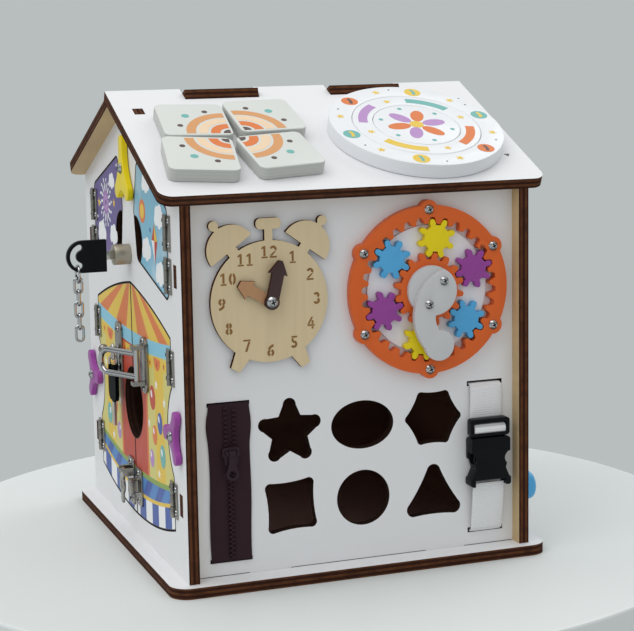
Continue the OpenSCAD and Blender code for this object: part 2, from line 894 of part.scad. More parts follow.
// The banana: a crescent between two arcs, with a round lobe at each end
// A bent handle: a wide crescent that covers one side of the disc and ends in a round lobe
module crank_handle() {
    back_at = [21.6, -19];
    back_r = 37.5;
    palm_at = [15.9, -20];
    palm_r = 15.1;
    lobe_at = [4, -40.7];
    lobe_r = 11.45;
    disc_rim = 0.5;
    color("lightgray") front_sheet(disc_out, handle_out) translate(gear_at) difference() {
        union() {
            intersection() {
                translate(back_at) circle(back_r);
                circle(crank_disc_r - disc_rim);
            }
            difference() {
                intersection() {
                    translate(back_at) circle(back_r);
                    translate([-back_r, lobe_at[1] - 2 * lobe_r]) square([back_r + lobe_at[0], 2 * lobe_r - lobe_at[1]]);
                }
                translate(palm_at) circle(palm_r);
            }
            translate(lobe_at) circle(lobe_r);
        }
        crank_screw_holes();
    }
}

module crank_screws() {
    color("silver") for (p = crank_screw_at)
        front_axis(gear_at + p, handle_out) screw(crank_screw_r, handle_out - gear_in - 0.5, crank_head_r);
}

module planet_carrier() {
    color("white") {
        front_sheet(carrier_in, carrier_in + carrier_t) translate(gear_at) difference() {
            circle(carrier_disc_r);
            circle(axle_r + bore_gap);
        }
        for (i = [0:planet_count - 1])
            front_sheet(carrier_in + carrier_t - cut / 2, gear_in + planet_pin_l - run_gap)
                translate(gear_at + polar(carrier_r, planet_phase + 360 / planet_count * i)) circle(planet_pin_r);
    }
}

planet_colors = ["gold", "cornflowerblue", "mediumorchid"];
module planet_gear(i) {
    a = planet_phase + 360 / planet_count * i;
    gap_at = a + 180 - (sun_phase - a) * sun_teeth / planet_teeth;
    color(planet_colors[i % 3]) translate([0, 0, 0]) difference() {
        front_sheet(gear_in, gear_out) translate(gear_at + polar(carrier_r, a))
            outer_gear(planet_teeth, gap_at + 180 / planet_teeth);
        front_sheet(gear_in - cut, gear_in + planet_pin_l)
            translate(gear_at + polar(carrier_r, a)) circle(planet_pin_r + bore_gap);
    }
}

// Zip: two tape halves that part above the slider, with a row of teeth on each
module tape_half() {
    polygon([[0, 0], [zip_tape_w / 2, 0], [zip_tape_w / 2, zip_l], [open_gap, zip_l],
        [open_gap, zip_slider_at + 4], [0, zip_slider_at - 8]]);
}

module tooth_row(shift) {
    count = floor((zip_l - 4) / zip_pitch);
    for (k = [0:count - 1]) {
        z = 2 + shift + zip_pitch * k;
        x = z > zip_slider_at ? open_gap - tooth_w / 2 : -0.7;
        translate([x, z]) square([tooth_w, tooth_h]);
    }
}

module zip_tape() {
    color("#4a3530") translate([zip_x, 0, zip_z]) {
        for (side = [0, 1]) mirror([side, 0, 0]) {
            front_sheet(tape_in, tape_out) tape_half();
            front_sheet(tape_out - 0.2, tooth_out) tooth_row(side * zip_pitch / 2);
        }
        for (z = [0, zip_l - tape_out + tape_in])
            front_sheet(1 - ply, tape_out) translate([-zip_tape_w / 2, z])
                square([zip_tape_w, tape_out - tape_in]);
    }
}

module zip_slider() {
    bridge_x = 3.9;
    flange_t = 1.1;
    color("#3a2a26") translate([zip_x, 0, zip_slider_z]) {
        front_sheet(slider_in, slider_out) {
            translate([0, slider_h / 2 - 4]) rounded_rect(slider_w, 8, 3);
            translate([0, -1]) rounded_rect(slider_w - 3, slider_h - 2, 3);
        }
        for (x = [-1, 1]) {
            front_sheet(tape_out + run_gap, slider_out)
                translate([x * (slider_w / 2 - flange_t / 2), slider_h / 2 - 4])
                    square([flange_t, 4], center = true);
            front_sheet(slider_out - 0.2, pull_pin_out + 1.6)
                translate([x * bridge_x, pull_pin_z - zip_slider_z]) square([1.6, 3], center = true);
        }
        translate([-bridge_x, -wall_y - pull_pin_out, pull_pin_z - zip_slider_z])
            rotate([0, 90, 0]) cylinder(r = pull_pin_r, h = 2 * bridge_x);
    }
}

module zip_pull() {
    eye_w = 5;
    hole_r = 2.6;
    color("#3a2a26") translate([zip_x, 0, pull_pin_z]) difference() {
        union() {
            translate([-eye_w / 2, -wall_y - pull_pin_out, 0])
                rotate([0, 90, 0]) cylinder(r = pull_eye_r, h = eye_w);
            front_sheet(pull_pin_out - pull_t / 2, pull_pin_out + pull_t / 2) {
                translate([-eye_w / 2, -pull_neck_l]) square([eye_w, pull_neck_l]);
                polygon([[-eye_w / 2, -pull_neck_l + cut], [-pull_tab_r + arm_tuck, -pull_tab_at],
                    [pull_tab_r - arm_tuck, -pull_tab_at], [eye_w / 2, -pull_neck_l + cut]]);
                translate([0, -pull_tab_at]) circle(pull_tab_r);
            }
        }
        translate([-eye_w, -wall_y - pull_pin_out, 0])
            rotate([0, 90, 0]) cylinder(r = pull_pin_r + bore_gap, h = 2 * eye_w);
        front_sheet(0, pull_pin_out + pull_t) translate([0, -pull_tab_at]) circle(hole_r);
    }
}

// Strap and side-release buckle
module upper_strap() {
    top = strap_z + strap_l;
    low = buckle_z + socket_h + 3;
    color("whitesmoke") translate([strap_x - strap_w / 2, 0, 0]) {
        front_sheet(strap_in, strap_in + strap_t) translate([0, low]) square([strap_w, top - low]);
        front_sheet(2 - ply, strap_in + strap_t)
            translate([0, top - strap_t]) square([strap_w, strap_t]);
    }
}

module lower_strap() {
    top = buckle_z + 8;
    low = strap_z - strap_t;
    color("whitesmoke") translate([strap_x - strap_w / 2, -wall_y, 0]) rotate([90, 0, 90])
        linear_extrude(strap_w) polygon([[ply - 2, low], [-strap_in, low],
            [-strap_end_in - strap_t, buckle_z - 2], [-strap_end_in - strap_t, top], [-strap_end_in, top],
            [-strap_end_in, buckle_z - 2], [-strap_in, low + 2 * strap_t], [ply - 2, low + strap_t]]);
}

// The socket narrows to a waist and flares again at its foot, where two horns stand beside the webbing
module socket_outline() {
    foot_h = 7;
    waist_at = 13.5;
    shoulder_at = 20;
    horn_h = 5;
    difference() {
        union() {
            translate([0, (socket_h + shoulder_at) / 2]) rounded_rect(buckle_w, socket_h - shoulder_at, 2.5);
            polygon([[-flare_w / 2 + 1, foot_h - 1], [flare_w / 2 - 1, foot_h - 1], [waist_w / 2, waist_at],
                [buckle_w / 2 - 1.5, shoulder_at + 1], [buckle_w / 2 - 1.5, shoulder_at + 5],
                [1.5 - buckle_w / 2, shoulder_at + 5], [1.5 - buckle_w / 2, shoulder_at + 1],
                [-waist_w / 2, waist_at]]);
            translate([0, foot_h / 2]) rounded_rect(flare_w, foot_h, 2);
        }
        translate([-strap_w / 2 - run_gap, -cut]) square([strap_w + 2 * run_gap, horn_h + cut]);
    }
}

module buckle_socket() {
    color("#25282c") translate([strap_x, 0, buckle_z]) difference() {
        front_sheet(buckle_in, buckle_out) socket_outline();
        front_sheet(cavity_in, cavity_out)
            translate([-cavity_w / 2, cavity_floor]) square([cavity_w, socket_h]);
        for (x = [-1, 1]) front_sheet(cavity_in, buckle_out + cut)
            translate([x * (buckle_w / 2 + 1), window_at]) circle(window_r);
        front_sheet(strap_end_in - run_gap, strap_end_in + strap_t + run_gap)
            translate([-strap_w / 2 - run_gap, -cut]) square([strap_w + 2 * run_gap, 8 + run_gap + cut]);
    }
}

module buckle_plug() {
    foot = socket_h + 1;
    prong_l = socket_h - cavity_floor - 2;
    prong_w = 6.2;
    color("#25282c") translate([strap_x, 0, buckle_z]) {
        front_sheet(plug_frame_in, buckle_out - 1) translate([0, foot + plug_frame_h / 2]) difference() {
            rounded_rect(buckle_w, plug_frame_h, 2.5);
            translate([0, -0.6]) rounded_rect(strap_w + 1.6, 8, 1);
        }
        front_sheet(cavity_in + prong_gap, cavity_out - prong_gap) {
            translate([-3, foot - prong_l]) square([6, prong_l + 1]);
            for (x = [-1, 1]) translate([x * (cavity_w / 2 - prong_gap - prong_w / 2), foot - prong_l / 2 + 0.5])
                square([prong_w, prong_l + 1], center = true);
        }
    }
}

// Picture tiles, each with a magnet let into its underside
module tile_place(i) {
    translate([tile_places[i][0], tile_places[i][1]]) rotate(tile_places[i][2]) children();
}

module picture_tile(i) {
    color("gainsboro") difference() {
        roof_sheet(tile_lift, tile_lift + tile_t) tile_place(i) rounded_rect(tile_w, tile_w, tile_corner_r);
        roof_sheet(tile_lift - cut, tile_lift + magnet_h + magnet_gap)
            tile_place(i) circle(magnet_r + magnet_gap);
    }
    color("silver") roof_sheet(tile_lift, tile_lift + magnet_h) tile_place(i) circle(magnet_r);
}

// Dial: each piece lies on the lip of the next one out, and the pin holds the inner disc
module dial_sheet(inner, outer) {
    roof_sheet(run_gap + inner, run_gap + outer) translate(dial_at) children();
}

module dial_ring(outer_r, foot_outer_r, hole_r, lip_r) {
    dial_sheet(0, dial_lip_t - run_gap) difference() {
        circle(foot_outer_r);
        circle(lip_r);
    }
    dial_sheet(dial_lip_t - run_gap, dial_lip_t) difference() {
        circle(foot_outer_r);
        circle(hole_r);
    }
    dial_sheet(dial_lip_t, dial_t) difference() {
        circle(outer_r);
        circle(hole_r);
    }
}

module dial_outer_ring() {
    color("white") dial_ring(dial_r, dial_r, dial_middle_r + dial_gap, dial_middle_r - dial_step + dial_gap);
}

module dial_middle_ring() {
    color("white") dial_ring(dial_middle_r, dial_middle_r - dial_step,
        dial_inner_r + dial_gap, dial_inner_r - dial_step + dial_gap);
}

module dial_inner_disc() {
    color("white") difference() {
        union() {
            dial_sheet(0, dial_lip_t) circle(dial_inner_r - dial_step);
            dial_sheet(dial_lip_t, dial_t) circle(dial_inner_r);
        }
        dial_sheet(-cut, dial_pin_l + run_gap) circle(dial_pin_r + bore_gap);
    }
}

// Pivot screws of the clock, the gears' axle, the turn buttons, the dial and the knob
module pivot_screws() {
    color("silver") {
        front_axis(clock_at, clock_head_in) screw(pivot_r, clock_head_in + ply - 1, pivot_head_r);
        front_axis(gear_at, -ply) {
            cylinder(r = axle_r, h = ply + gear_out - run_gap);
            translate([0, 0, -screw_head_h]) cylinder(r = axle_r + 3, h = screw_head_h);
        }
        for (at = [[0, top_button_z], [button_y, button_z], [-button_y, button_z]])
            left_axis(at, button_out + run_gap) screw(pivot_r, button_out + run_gap + ply - 1, pivot_head_r);
        on_roof() translate([dial_at[0], dial_at[1], 0]) {
            cylinder(r = dial_pin_r, h = ply + dial_pin_l);
            translate([0, 0, -screw_head_h]) cylinder(r = dial_pin_r + 3, h = screw_head_h);
        }
        mirror([1, 0, 0]) left_axis(knob_at, -ply) {
            cylinder(r = pivot_r, h = ply + knob_neck + knob_t - 3);
            translate([0, 0, -screw_head_h]) cylinder(r = pivot_head_r, h = screw_head_h);
        }
    }
}

// Turn buttons
module top_turn_button() {
    color("gold") left_sheet(button_in, button_out) translate([0, top_button_z]) difference() {
        arm_star(top_angles, [top_reach, top_low_reach, top_low_reach], top_tip_r, 4.5);
        circle(pivot_r + bore_gap);
    }
}

module side_button() {
    left_sheet(button_in, button_out) translate([button_y, button_z]) difference() {
        arm_star(button_angles, [for (a = button_angles) button_reach], button_tip_r, button_sag);
        circle(pivot_r + bore_gap);
    }
}

module left_turn_button() {
    color("mediumorchid") side_button();
}

module right_turn_button() {
    color("mediumorchid") mirror_y() side_button();
}

// Doors
module upper_door() {
    left_sheet(-ply, 0) difference() {
        upper_outline();
        translate(bite_at) circle(bite_r);
    }
}

module lower_door() {
    left_sheet(-ply, 0) difference() {
        intersection() {
            lower_outline();
            translate([split_half, 0]) square([house_d, eave_z]);
        }
        translate([0, waist_z]) circle(finger_hole_r);
    }
}

module night_door() {
    color("mediumpurple") upper_door();
}

module day_door() {
    color("lightskyblue") mirror_y() upper_door();
}

module left_lower_door() {
    color("sandybrown") lower_door();
}

module right_lower_door() {
    color("sandybrown") mirror_y() lower_door();
}

// Hinges: the wall leaf holds the pin in its two outer knuckles, the door leaf turns on it
module knuckle(z, l, r) {
    translate([-gable_x - pin_out, hinge_y, z - l / 2]) cylinder(r = r, h = l);
}

module wall_leaf(z) {
    left_sheet(0, leaf_t) translate([hinge_y, z]) difference() {
        translate([0, -leaf_l / 2]) square([leaf_w, leaf_l]);
        translate([-cut, -knuckle_l / 2 - knuckle_gap])
            square([cut + knuckle_r + leaf_clear, knuckle_l + 2 * knuckle_gap]);
    }
    for (end = [-1, 1]) knuckle(z + end * (knuckle_l + knuckle_gap / 2), knuckle_l - knuckle_gap, knuckle_r);
    knuckle(z, leaf_l, pin_r);
}

module door_leaf(z) {
    notch = knuckle_l + knuckle_gap;
    difference() {
        union() {
            left_sheet(0, leaf_t) translate([hinge_y - leaf_w, z]) difference() {
                translate([0, -leaf_l / 2]) square([leaf_w, leaf_l]);
                for (end = [-1, 1]) translate([leaf_w - knuckle_r - leaf_clear, end * (knuckle_l + knuckle_gap) - notch / 2])
                    square([2 * knuckle_r + leaf_clear, notch + (end > 0 ? cut : 0)]);
                translate([leaf_w - knuckle_r - leaf_clear, -leaf_l / 2 - cut])
                    square([2 * knuckle_r + leaf_clear, 2 * cut]);
            }
            knuckle(z, knuckle_l - knuckle_gap, knuckle_r);
        }
        knuckle(z, leaf_l, pin_r + bore_gap);
    }
}

module wall_hinge_leaves() {
    color("silver") for (side = [0, 1]) mirror([0, side, 0])
        for (z = concat(upper_hinge_z, lower_hinge_z)) wall_leaf(z);
}

module door_leaves(heights) {
    color("silver") for (z = heights) door_leaf(z);
}

module night_hinge_leaves() {
    door_leaves(upper_hinge_z);
}

module day_hinge_leaves() {
    mirror_y() door_leaves(upper_hinge_z);
}

module left_lower_hinge_leaves() {
    door_leaves(lower_hinge_z);
}

module right_lower_hinge_leaves() {
    mirror_y() door_leaves(lower_hinge_z);
}

// Lock
module lock_barrel() {
    color("silver") translate([0, 0, lock_z]) {
        difference() {
            union() {
                left_sheet(0, barrel_out) circle(barrel_r);
                left_sheet(-ply - nut_t - 1, 0.2) circle(neck_r);
            }
            left_sheet(-ply - nut_t - 2, barrel_out + cut) circle(plug_r + bore_gap);
        }
        left_sheet(-ply - nut_t, -ply) difference() {
            circle(nut_r, $fn = 6);
            circle(neck_r + seam_gap);
        }
    }
}

module lock_plug() {
    color("gray") translate([0, 0, lock_z]) {
        difference() {
            left_sheet(-plug_in, barrel_out - 0.2) circle(plug_r);
            left_sheet(barrel_out - keyway_l, barrel_out) square([keyway_w, keyway_h], center = true);
        }
        left_sheet(-plug_in - cam_t, -plug_in + 0.2) {
            circle(cam_w / 2);
            translate([-cam_w / 2, -cam_l]) square([cam_w, cam_l]);
        }
    }
}

// The key lies in the upright plane of the lock's axis; its outline is in (distance out, height)
module key_sheet(t) {
    translate([-gable_x, 0, lock_z]) rotate([90, 0, 180])
        translate([0, 0, -t / 2]) linear_extrude(t) children();
}

module key_head() {
    end = key_head_in + key_head_l - key_head_r;
    difference() {
        union() {
            translate([key_head_in, -key_head_r]) square([end - key_head_in, 2 * key_head_r]);
            translate([end, 0]) circle(key_head_r);
        }
        translate([end, 0]) {
            intersection() {
                difference() {
                    circle(crescent_r + crescent_w / 2);
                    circle(crescent_r - crescent_w / 2);
                }
                polygon([[0, 0], 30 * polar(1, -crescent_angle), [40, -30 * sin(crescent_angle)],
                    [40, 30 * sin(crescent_angle)], 30 * polar(1, crescent_angle)]);
            }
            for (a = [-1, 1]) translate(polar(crescent_r, a * crescent_angle)) circle(crescent_w / 2);
        }
    }
}

module lock_key() {
    blade_start = barrel_out - keyway_l + 1;
    color("#202124") difference() {
        key_sheet(key_head_t) key_head();
        for (side = [-1, 1]) translate([0, side * key_head_t / 2, 0]) key_sheet(2 * panel_deep)
            translate([key_head_in + panel_rim, -key_head_r + panel_rim])
                square([panel_l, 2 * (key_head_r - panel_rim)]);
    }
    color("silver") key_sheet(keyway_w - 2 * blade_gap)
        translate([blade_start, -keyway_h / 2 + blade_gap])
            square([key_head_in + 1 - blade_start, keyway_h - 2 * blade_gap]);
}

// A chain link standing in the XZ plane, its middle at the origin
module link() {
    for (x = [-1, 1]) translate([x * link_r, 0, -link_s / 2]) cylinder(r = wire_r, h = link_s);
    for (end = [0, 1]) mirror([0, 0, end]) translate([0, 0, link_s / 2]) rotate([90, 0, 0])
        rotate_extrude(angle = 180) translate([link_r, 0]) circle(wire_r);
}

module key_chain() {
    color("silver") {
        translate([-gable_x - key_ring_out, 0, key_ring_z]) rotate([0, 90, 0])
            rotate_extrude() translate([ring_loop_r, 0]) circle(ring_wire_r);
        for (k = [0:chain_links - 1])
            translate([-gable_x - key_ring_out, 0, first_link_z - k * link_pitch]) rotate([0, 0, 90 * (k % 2)]) link();
    }
}

// Door guard: a swing bar on the right door, and a ball stud on the left door that it closes over
module guard_plate() {
    left_sheet(0, guard_plate_t) translate([guard_y, guard_z]) rounded_rect(guard_plate_w, guard_plate_h, 8);
}

module ball_stud() {
    guard_plate();
    left_sheet(guard_plate_t - 0.2, stud_l + 1) translate([guard_y, guard_z]) circle(stud_r);
    left_axis([guard_y, guard_z], stud_l + stud_ball_r - 1) sphere(stud_ball_r);
}

module guard_bracket() {
    guard_plate();
    for (end = [-1, 1]) difference() {
        left_sheet(guard_plate_t - 0.2, guard_pin_out + 4)
            translate([guard_y, guard_z + end * (lug_at + lug_t / 2)]) square([8, lug_t], center = true);
        translate([-gable_x - guard_pin_out, guard_y, guard_z - guard_plate_h / 2])
            cylinder(r = guard_pin_r + bore_gap, h = guard_plate_h);
    }
}

module guard_bar() {
    translate([-gable_x - guard_pin_out, guard_y, guard_z]) rotate([0, 0, guard_lean]) {
        translate([0, 0, -lug_at - lug_t]) cylinder(r = guard_pin_r, h = 2 * (lug_at + lug_t));
        for (z = [-guard_bow_r, guard_bow_r])
            translate([0, 0, z]) rotate([0, -90, 0]) cylinder(r = guard_leg_r, h = guard_leg_l);
        translate([-guard_leg_l, 0, 0]) rotate([90, 90, 180])
            rotate_extrude(angle = 180) translate([guard_bow_r, 0]) circle(guard_leg_r);
    }
}

module clasp_plate(h) {
    left_sheet(0, clasp_plate_t) translate([clasp_from_split + clasp_w / 2, clasp_z]) rounded_rect(clasp_w, h, 4);
}

module clasp_base() {
    pin_z = clasp_z + 8;
    clasp_plate(38);
    for (y = [0, clasp_w - 2 - clasp_ear_t])
        left_sheet(clasp_plate_t - 0.2, clasp_pin_out + 2.4)
            translate([clasp_from_split + 1 + y, pin_z - 3]) square([clasp_ear_t, 6]);
    translate([-gable_x - clasp_pin_out, clasp_from_split + 1, pin_z])
        rotate([-90, 0, 0]) cylinder(r = clasp_pin_r, h = clasp_w - 2);
}

module clasp_lever() {
    pin_z = clasp_z + 8;
    width = clasp_w - 2 - 2 * clasp_ear_t - 2 * run_gap;
    low_y = clasp_from_split + 1 + clasp_ear_t + run_gap;
    color("silver") difference() {
        union() {
            translate([-gable_x - clasp_pin_out, low_y, pin_z])
                rotate([-90, 0, 0]) cylinder(r = clasp_eye_r, h = width);
            left_sheet(clasp_pin_out + 0.4, clasp_pin_out + 2) {
                translate([low_y, pin_z - lever_boss_at]) square([width, lever_boss_at]);
                translate([low_y + width / 2, pin_z - lever_boss_at]) circle(lever_boss_r);
                translate([low_y + width / 2, pin_z - lever_boss_at - lever_l / 2])
                    rounded_rect(lever_tip_w, lever_l, lever_tip_w / 2 - 0.1);
            }
        }
        translate([-gable_x - clasp_pin_out, low_y - cut, pin_z])
            rotate([-90, 0, 0]) cylinder(r = clasp_pin_r + bore_gap, h = width + 2 * cut);
        left_sheet(clasp_pin_out, clasp_pin_out + 3)
            translate([low_y + width / 2, pin_z - lever_boss_at]) rounded_rect(2.8, 8, 1.3);
    }
}

module clasp_keeper() {
    clasp_plate(30);
    left_sheet(clasp_plate_t - 0.2, 6) translate([clasp_from_split + 4, clasp_z]) rounded_rect(6, 12, 2);
    left_sheet(5.8, 8) translate([clasp_from_split + 6, clasp_z]) rounded_rect(10, 12, 2);
}

module left_door_catches() {
    color("silver") {
        ball_stud();
        clasp_base();
    }
}

module right_door_catches() {
    color("silver") mirror_y() {
        guard_bracket();
        clasp_keeper();
    }
}

module door_guard_bar() {
    color("silver") mirror_y() guard_bar();
}

// Spare key on two links from the ball stud, flat against the left door
module spare_key() {
    head_top = spare_hole_z + spare_hole_r + 3.5;
    color("silver") for (k = [0, 1])
        translate([-gable_x - spare_out, guard_y, spare_link_z - k * link_pitch])
            rotate([0, 0, 90 * (1 - k)]) link();
    color("#202124") left_sheet(spare_out - spare_t / 2, spare_out + spare_t / 2) difference() {
        translate([guard_y, head_top - spare_h / 2]) rounded_rect(spare_w, spare_h, 7);
        translate([guard_y, spare_hole_z]) circle(spare_hole_r);
    }
    color("silver") left_sheet(spare_out - 1, spare_out + 1)
        translate([guard_y - spare_blade_w / 2, head_top - spare_h - spare_blade_l])
            square([spare_blade_w, spare_blade_l + 1]);
}

// Side knob on the right gable
module side_knob() {
    top = knob_neck + knob_t;
    color("deepskyblue") mirror([1, 0, 0]) left_axis(knob_at, 0) rotate_extrude() difference() {
        union() {
            translate([0, run_gap]) square([knob_r / 2, knob_neck]);
            translate([0, knob_neck]) square([knob_r - knob_round, knob_t]);
            translate([0, knob_neck + knob_round]) square([knob_r, knob_t - 2 * knob_round]);
            for (z = [knob_neck + knob_round, top - knob_round])
                translate([knob_r - knob_round, z]) circle(knob_round);
        }
        translate([-cut, -cut]) square([pivot_r + bore_gap + cut, top - 2.5 + cut]);
        translate([-knob_r, 0]) square([knob_r, top]);
    }
}

base_plate();
front_wall();
back_wall();
left_gable();
right_gable();
roof_front_panel();
roof_back_panel();
clock_face();
hour_hand();
minute_hand();
ring_gear();
ring_screws();
sun_gear();
crank_disc();
crank_handle();
crank_screws();
planet_carrier();
for (i = [0:planet_count - 1]) planet_gear(i);
zip_tape();
zip_slider();
zip_pull();
upper_strap();
lower_strap();
buckle_plug();
buckle_socket();
for (i = [0:3]) picture_tile(i);
dial_outer_ring();
dial_middle_ring();
dial_inner_disc();
pivot_screws();
top_turn_button();
left_turn_button();
right_turn_button();
night_door();
day_door();
left_lower_door();
right_lower_door();
wall_hinge_leaves();
night_hinge_leaves();
day_hinge_leaves();
left_lower_hinge_leaves();
right_lower_hinge_leaves();
lock_barrel();
lock_plug();
lock_key();
key_chain();
left_door_catches();
right_door_catches();
door_guard_bar();
clasp_lever();
spare_key();
side_knob();
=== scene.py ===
"""Looks of the activity house: finishes, prints, soft pieces and small fittings around its CAD frame."""

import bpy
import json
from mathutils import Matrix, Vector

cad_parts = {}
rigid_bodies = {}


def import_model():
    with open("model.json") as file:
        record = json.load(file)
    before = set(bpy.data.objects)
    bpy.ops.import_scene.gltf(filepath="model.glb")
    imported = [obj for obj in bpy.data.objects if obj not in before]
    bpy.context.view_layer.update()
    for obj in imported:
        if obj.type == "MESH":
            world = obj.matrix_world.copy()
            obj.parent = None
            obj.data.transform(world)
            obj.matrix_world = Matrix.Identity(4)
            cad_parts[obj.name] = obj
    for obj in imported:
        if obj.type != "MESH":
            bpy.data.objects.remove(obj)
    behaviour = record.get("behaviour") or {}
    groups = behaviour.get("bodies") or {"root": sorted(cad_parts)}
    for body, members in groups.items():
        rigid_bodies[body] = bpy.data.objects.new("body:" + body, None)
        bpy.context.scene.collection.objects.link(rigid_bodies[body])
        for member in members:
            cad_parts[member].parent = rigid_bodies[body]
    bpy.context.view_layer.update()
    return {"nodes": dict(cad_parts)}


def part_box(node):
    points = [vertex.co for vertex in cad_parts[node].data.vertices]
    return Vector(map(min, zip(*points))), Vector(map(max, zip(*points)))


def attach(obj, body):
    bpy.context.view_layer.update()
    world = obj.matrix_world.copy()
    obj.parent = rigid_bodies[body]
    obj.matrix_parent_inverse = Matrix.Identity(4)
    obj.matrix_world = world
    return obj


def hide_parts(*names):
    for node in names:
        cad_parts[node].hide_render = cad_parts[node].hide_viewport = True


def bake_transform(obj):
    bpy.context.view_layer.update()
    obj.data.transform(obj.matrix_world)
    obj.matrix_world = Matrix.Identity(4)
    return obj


bl_info = {
    "name": "Activity house looks",
    "version": (1, 0, 0),
    "blender": (4, 5, 0),
    "location": "View3D > Sidebar > Activity house",
    "description": "Finishes, prints, webbing, zip and stage of a plywood activity house",
    "category": "Object",
}

import json
import math

import bmesh
import bpy
from bpy.props import FloatProperty, FloatVectorProperty, IntProperty, PointerProperty
from mathutils import Matrix, Vector

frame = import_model()
NODES = frame["nodes"]
MM = 0.001

# Points nearer than this are one point, in metres, and faces that turn by less than this are one face
WELD = 2e-6
FLAT = math.radians(0.6)

# Outer faces of the house and the foot of its roof, in millimetres, taken from the frame
GABLE_X = -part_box("left_gable")[0].x / MM
FRONT_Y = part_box("front_wall")[0].y / MM
EAVE_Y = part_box("left_gable")[0].y / MM

# Slope of the roof, and the height of its eave in millimetres
ROOF_PITCH = math.radians(23.2)
ROOF_NORMAL = Vector((0, -math.sin(ROOF_PITCH), math.cos(ROOF_PITCH)))
ROOF_UP = Vector((0, math.cos(ROOF_PITCH), math.sin(ROOF_PITCH)))
EAVE_Z = 281.0

# Thickness of the plywood and width of a lower door, in millimetres
PLY = 8.0
DOOR_W = 114.0

# Places of pivots, in millimetres: the clock's height, and the dial across and up the roof from the eave
CLOCK_PIVOT_Z = 208.5
DIAL_X, DIAL_UP = 70.5, 74.0


def middle(node):
    """The middle of a CAD node's box, in millimetres."""
    low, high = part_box(node)
    return (low + high) / 2 / MM


def srgb(code):
    """A colour written as six hexadecimal digits, as linear red, green and blue."""
    parts = [int(code[i : i + 2], 16) / 255 for i in (0, 2, 4)]
    return tuple(c / 12.92 if c <= 0.04045 else ((c + 0.055) / 1.055) ** 2.4 for c in parts)


def ink(color):
    """A colour with full alpha, as shader sockets take it."""
    return (*color[:3], 1.0)


def dim(color, share):
    """A colour made darker, or lighter by a share above 1, as shader sockets take it."""
    return ink([min(1.0, c * share) for c in color[:3]])


def tint(name, code, words):
    """A colour property."""
    shown = {"subtype": "COLOR", "size": 3, "min": 0, "max": 1}
    return FloatVectorProperty(name=name, description=words, default=srgb(code), **shown)


def length(name, size, words):
    """A length property in metres, from a size in millimetres."""
    shown = {"subtype": "DISTANCE", "unit": "LENGTH", "min": 0}
    return FloatProperty(name=name, description=words, default=size * MM, **shown)


def watts(name, size, words):
    """A property for the power of a lamp."""
    return FloatProperty(name=name, description=words, default=size, min=0, unit="POWER")


class ShellLooks(bpy.types.PropertyGroup):
    """Colours of the plywood shell and of the clock."""

    white: tint("White lacquer", "E9E9EB", "Outer faces of the plywood")
    birch: tint("Birch", "CFB489", "Bare faces of the plywood")
    scorch: tint("Scorched layer", "35190E", "Darker layers of a laser-cut edge")
    scorch_light: tint("Scorched layer, lighter", "5F3820", "Lighter layers of a laser-cut edge")
    clock_birch: tint("Clock birch", "DDC8A1", "Face of the clock")
    numeral: tint("Numerals", "8C622B", "Engraved numerals of the clock")
    hour_wood: tint("Hour hand", "B98A62", "Wood of the hour hand")
    minute_wood: tint("Minute hand", "3A1B1C", "Wood of the minute hand")
    layer: length("Plywood layer", 1.9, "Thickness of one layer of the plywood")
    # Painted shade inside the house: the inside and floor colours stand in for its darkness
    inside: tint("Inside", "946A58", "Faces inside the house")
    floor: tint("Floor", "C79F97", "Floor inside the house")
    numeral_height: length("Numeral height", 8.8, "Height of the clock's numerals")


class PlasticLooks(bpy.types.PropertyGroup):
    """Colours and edges of the plastic pieces."""

    orange: tint("Orange", "E06422", "Ring gear and sun gear")
    yellow: tint("Yellow", "F0D804", "Yellow gears and turn button")
    purple: tint("Purple", "9B449C", "Purple gears and turn buttons")
    blue: tint("Blue", "55ADE2", "Blue gears and the side knob")
    grey: tint("Grey", "CDCDCF", "Crank disc and handle")
    black: tint("Black", "080A10", "Buckle and key heads")
    carrier: tint("Carrier", "F2F1F5", "Planet carrier behind the gears")
    easing: length("Eased edge", 0.5, "Rounding of moulded edges")
    board_easing: length("Board edge", 1.3, "Rounding of the tiles' edges")


class MetalLooks(bpy.types.PropertyGroup):
    """Colours of the metal fittings."""

    nickel: tint("Nickel", "9C9892", "Hinges, catches and clasp")
    chrome: tint("Chrome", "CFCFD1", "Screws, chain and guard bar")
    # Painted shade: the near-black of the screws' cross recesses
    recess: tint("Recess", "0A0908", "Cross recess of a screw")
    barrel: tint("Barrel", "B9B1A2", "Brushed lock")
    blade: tint("Blade", "CFCBC4", "Blades of the keys")


class FabricLooks(bpy.types.PropertyGroup):
    """Webbing and zip."""

    webbing: tint("Webbing", "EDEDEF", "Colour of the strap")
    zip_brown: tint("Zip tape", "35242A", "Colour of the zip's tape")
    zip_teeth: tint("Zip teeth", "37252D", "Colour of the zip's teeth")
    zip_enamel: tint("Zip slider", "33222A", "Colour of the zip's slider and pull")
    rib: length("Webbing rib", 1.7, "Distance from one rib of the webbing to the next")
    tooth_pitch: length("Tooth pitch", 3.4, "Distance from one zip tooth to the next")
    teeth: IntProperty(name="Teeth", description="Zip teeth on one side", min=1, default=33)


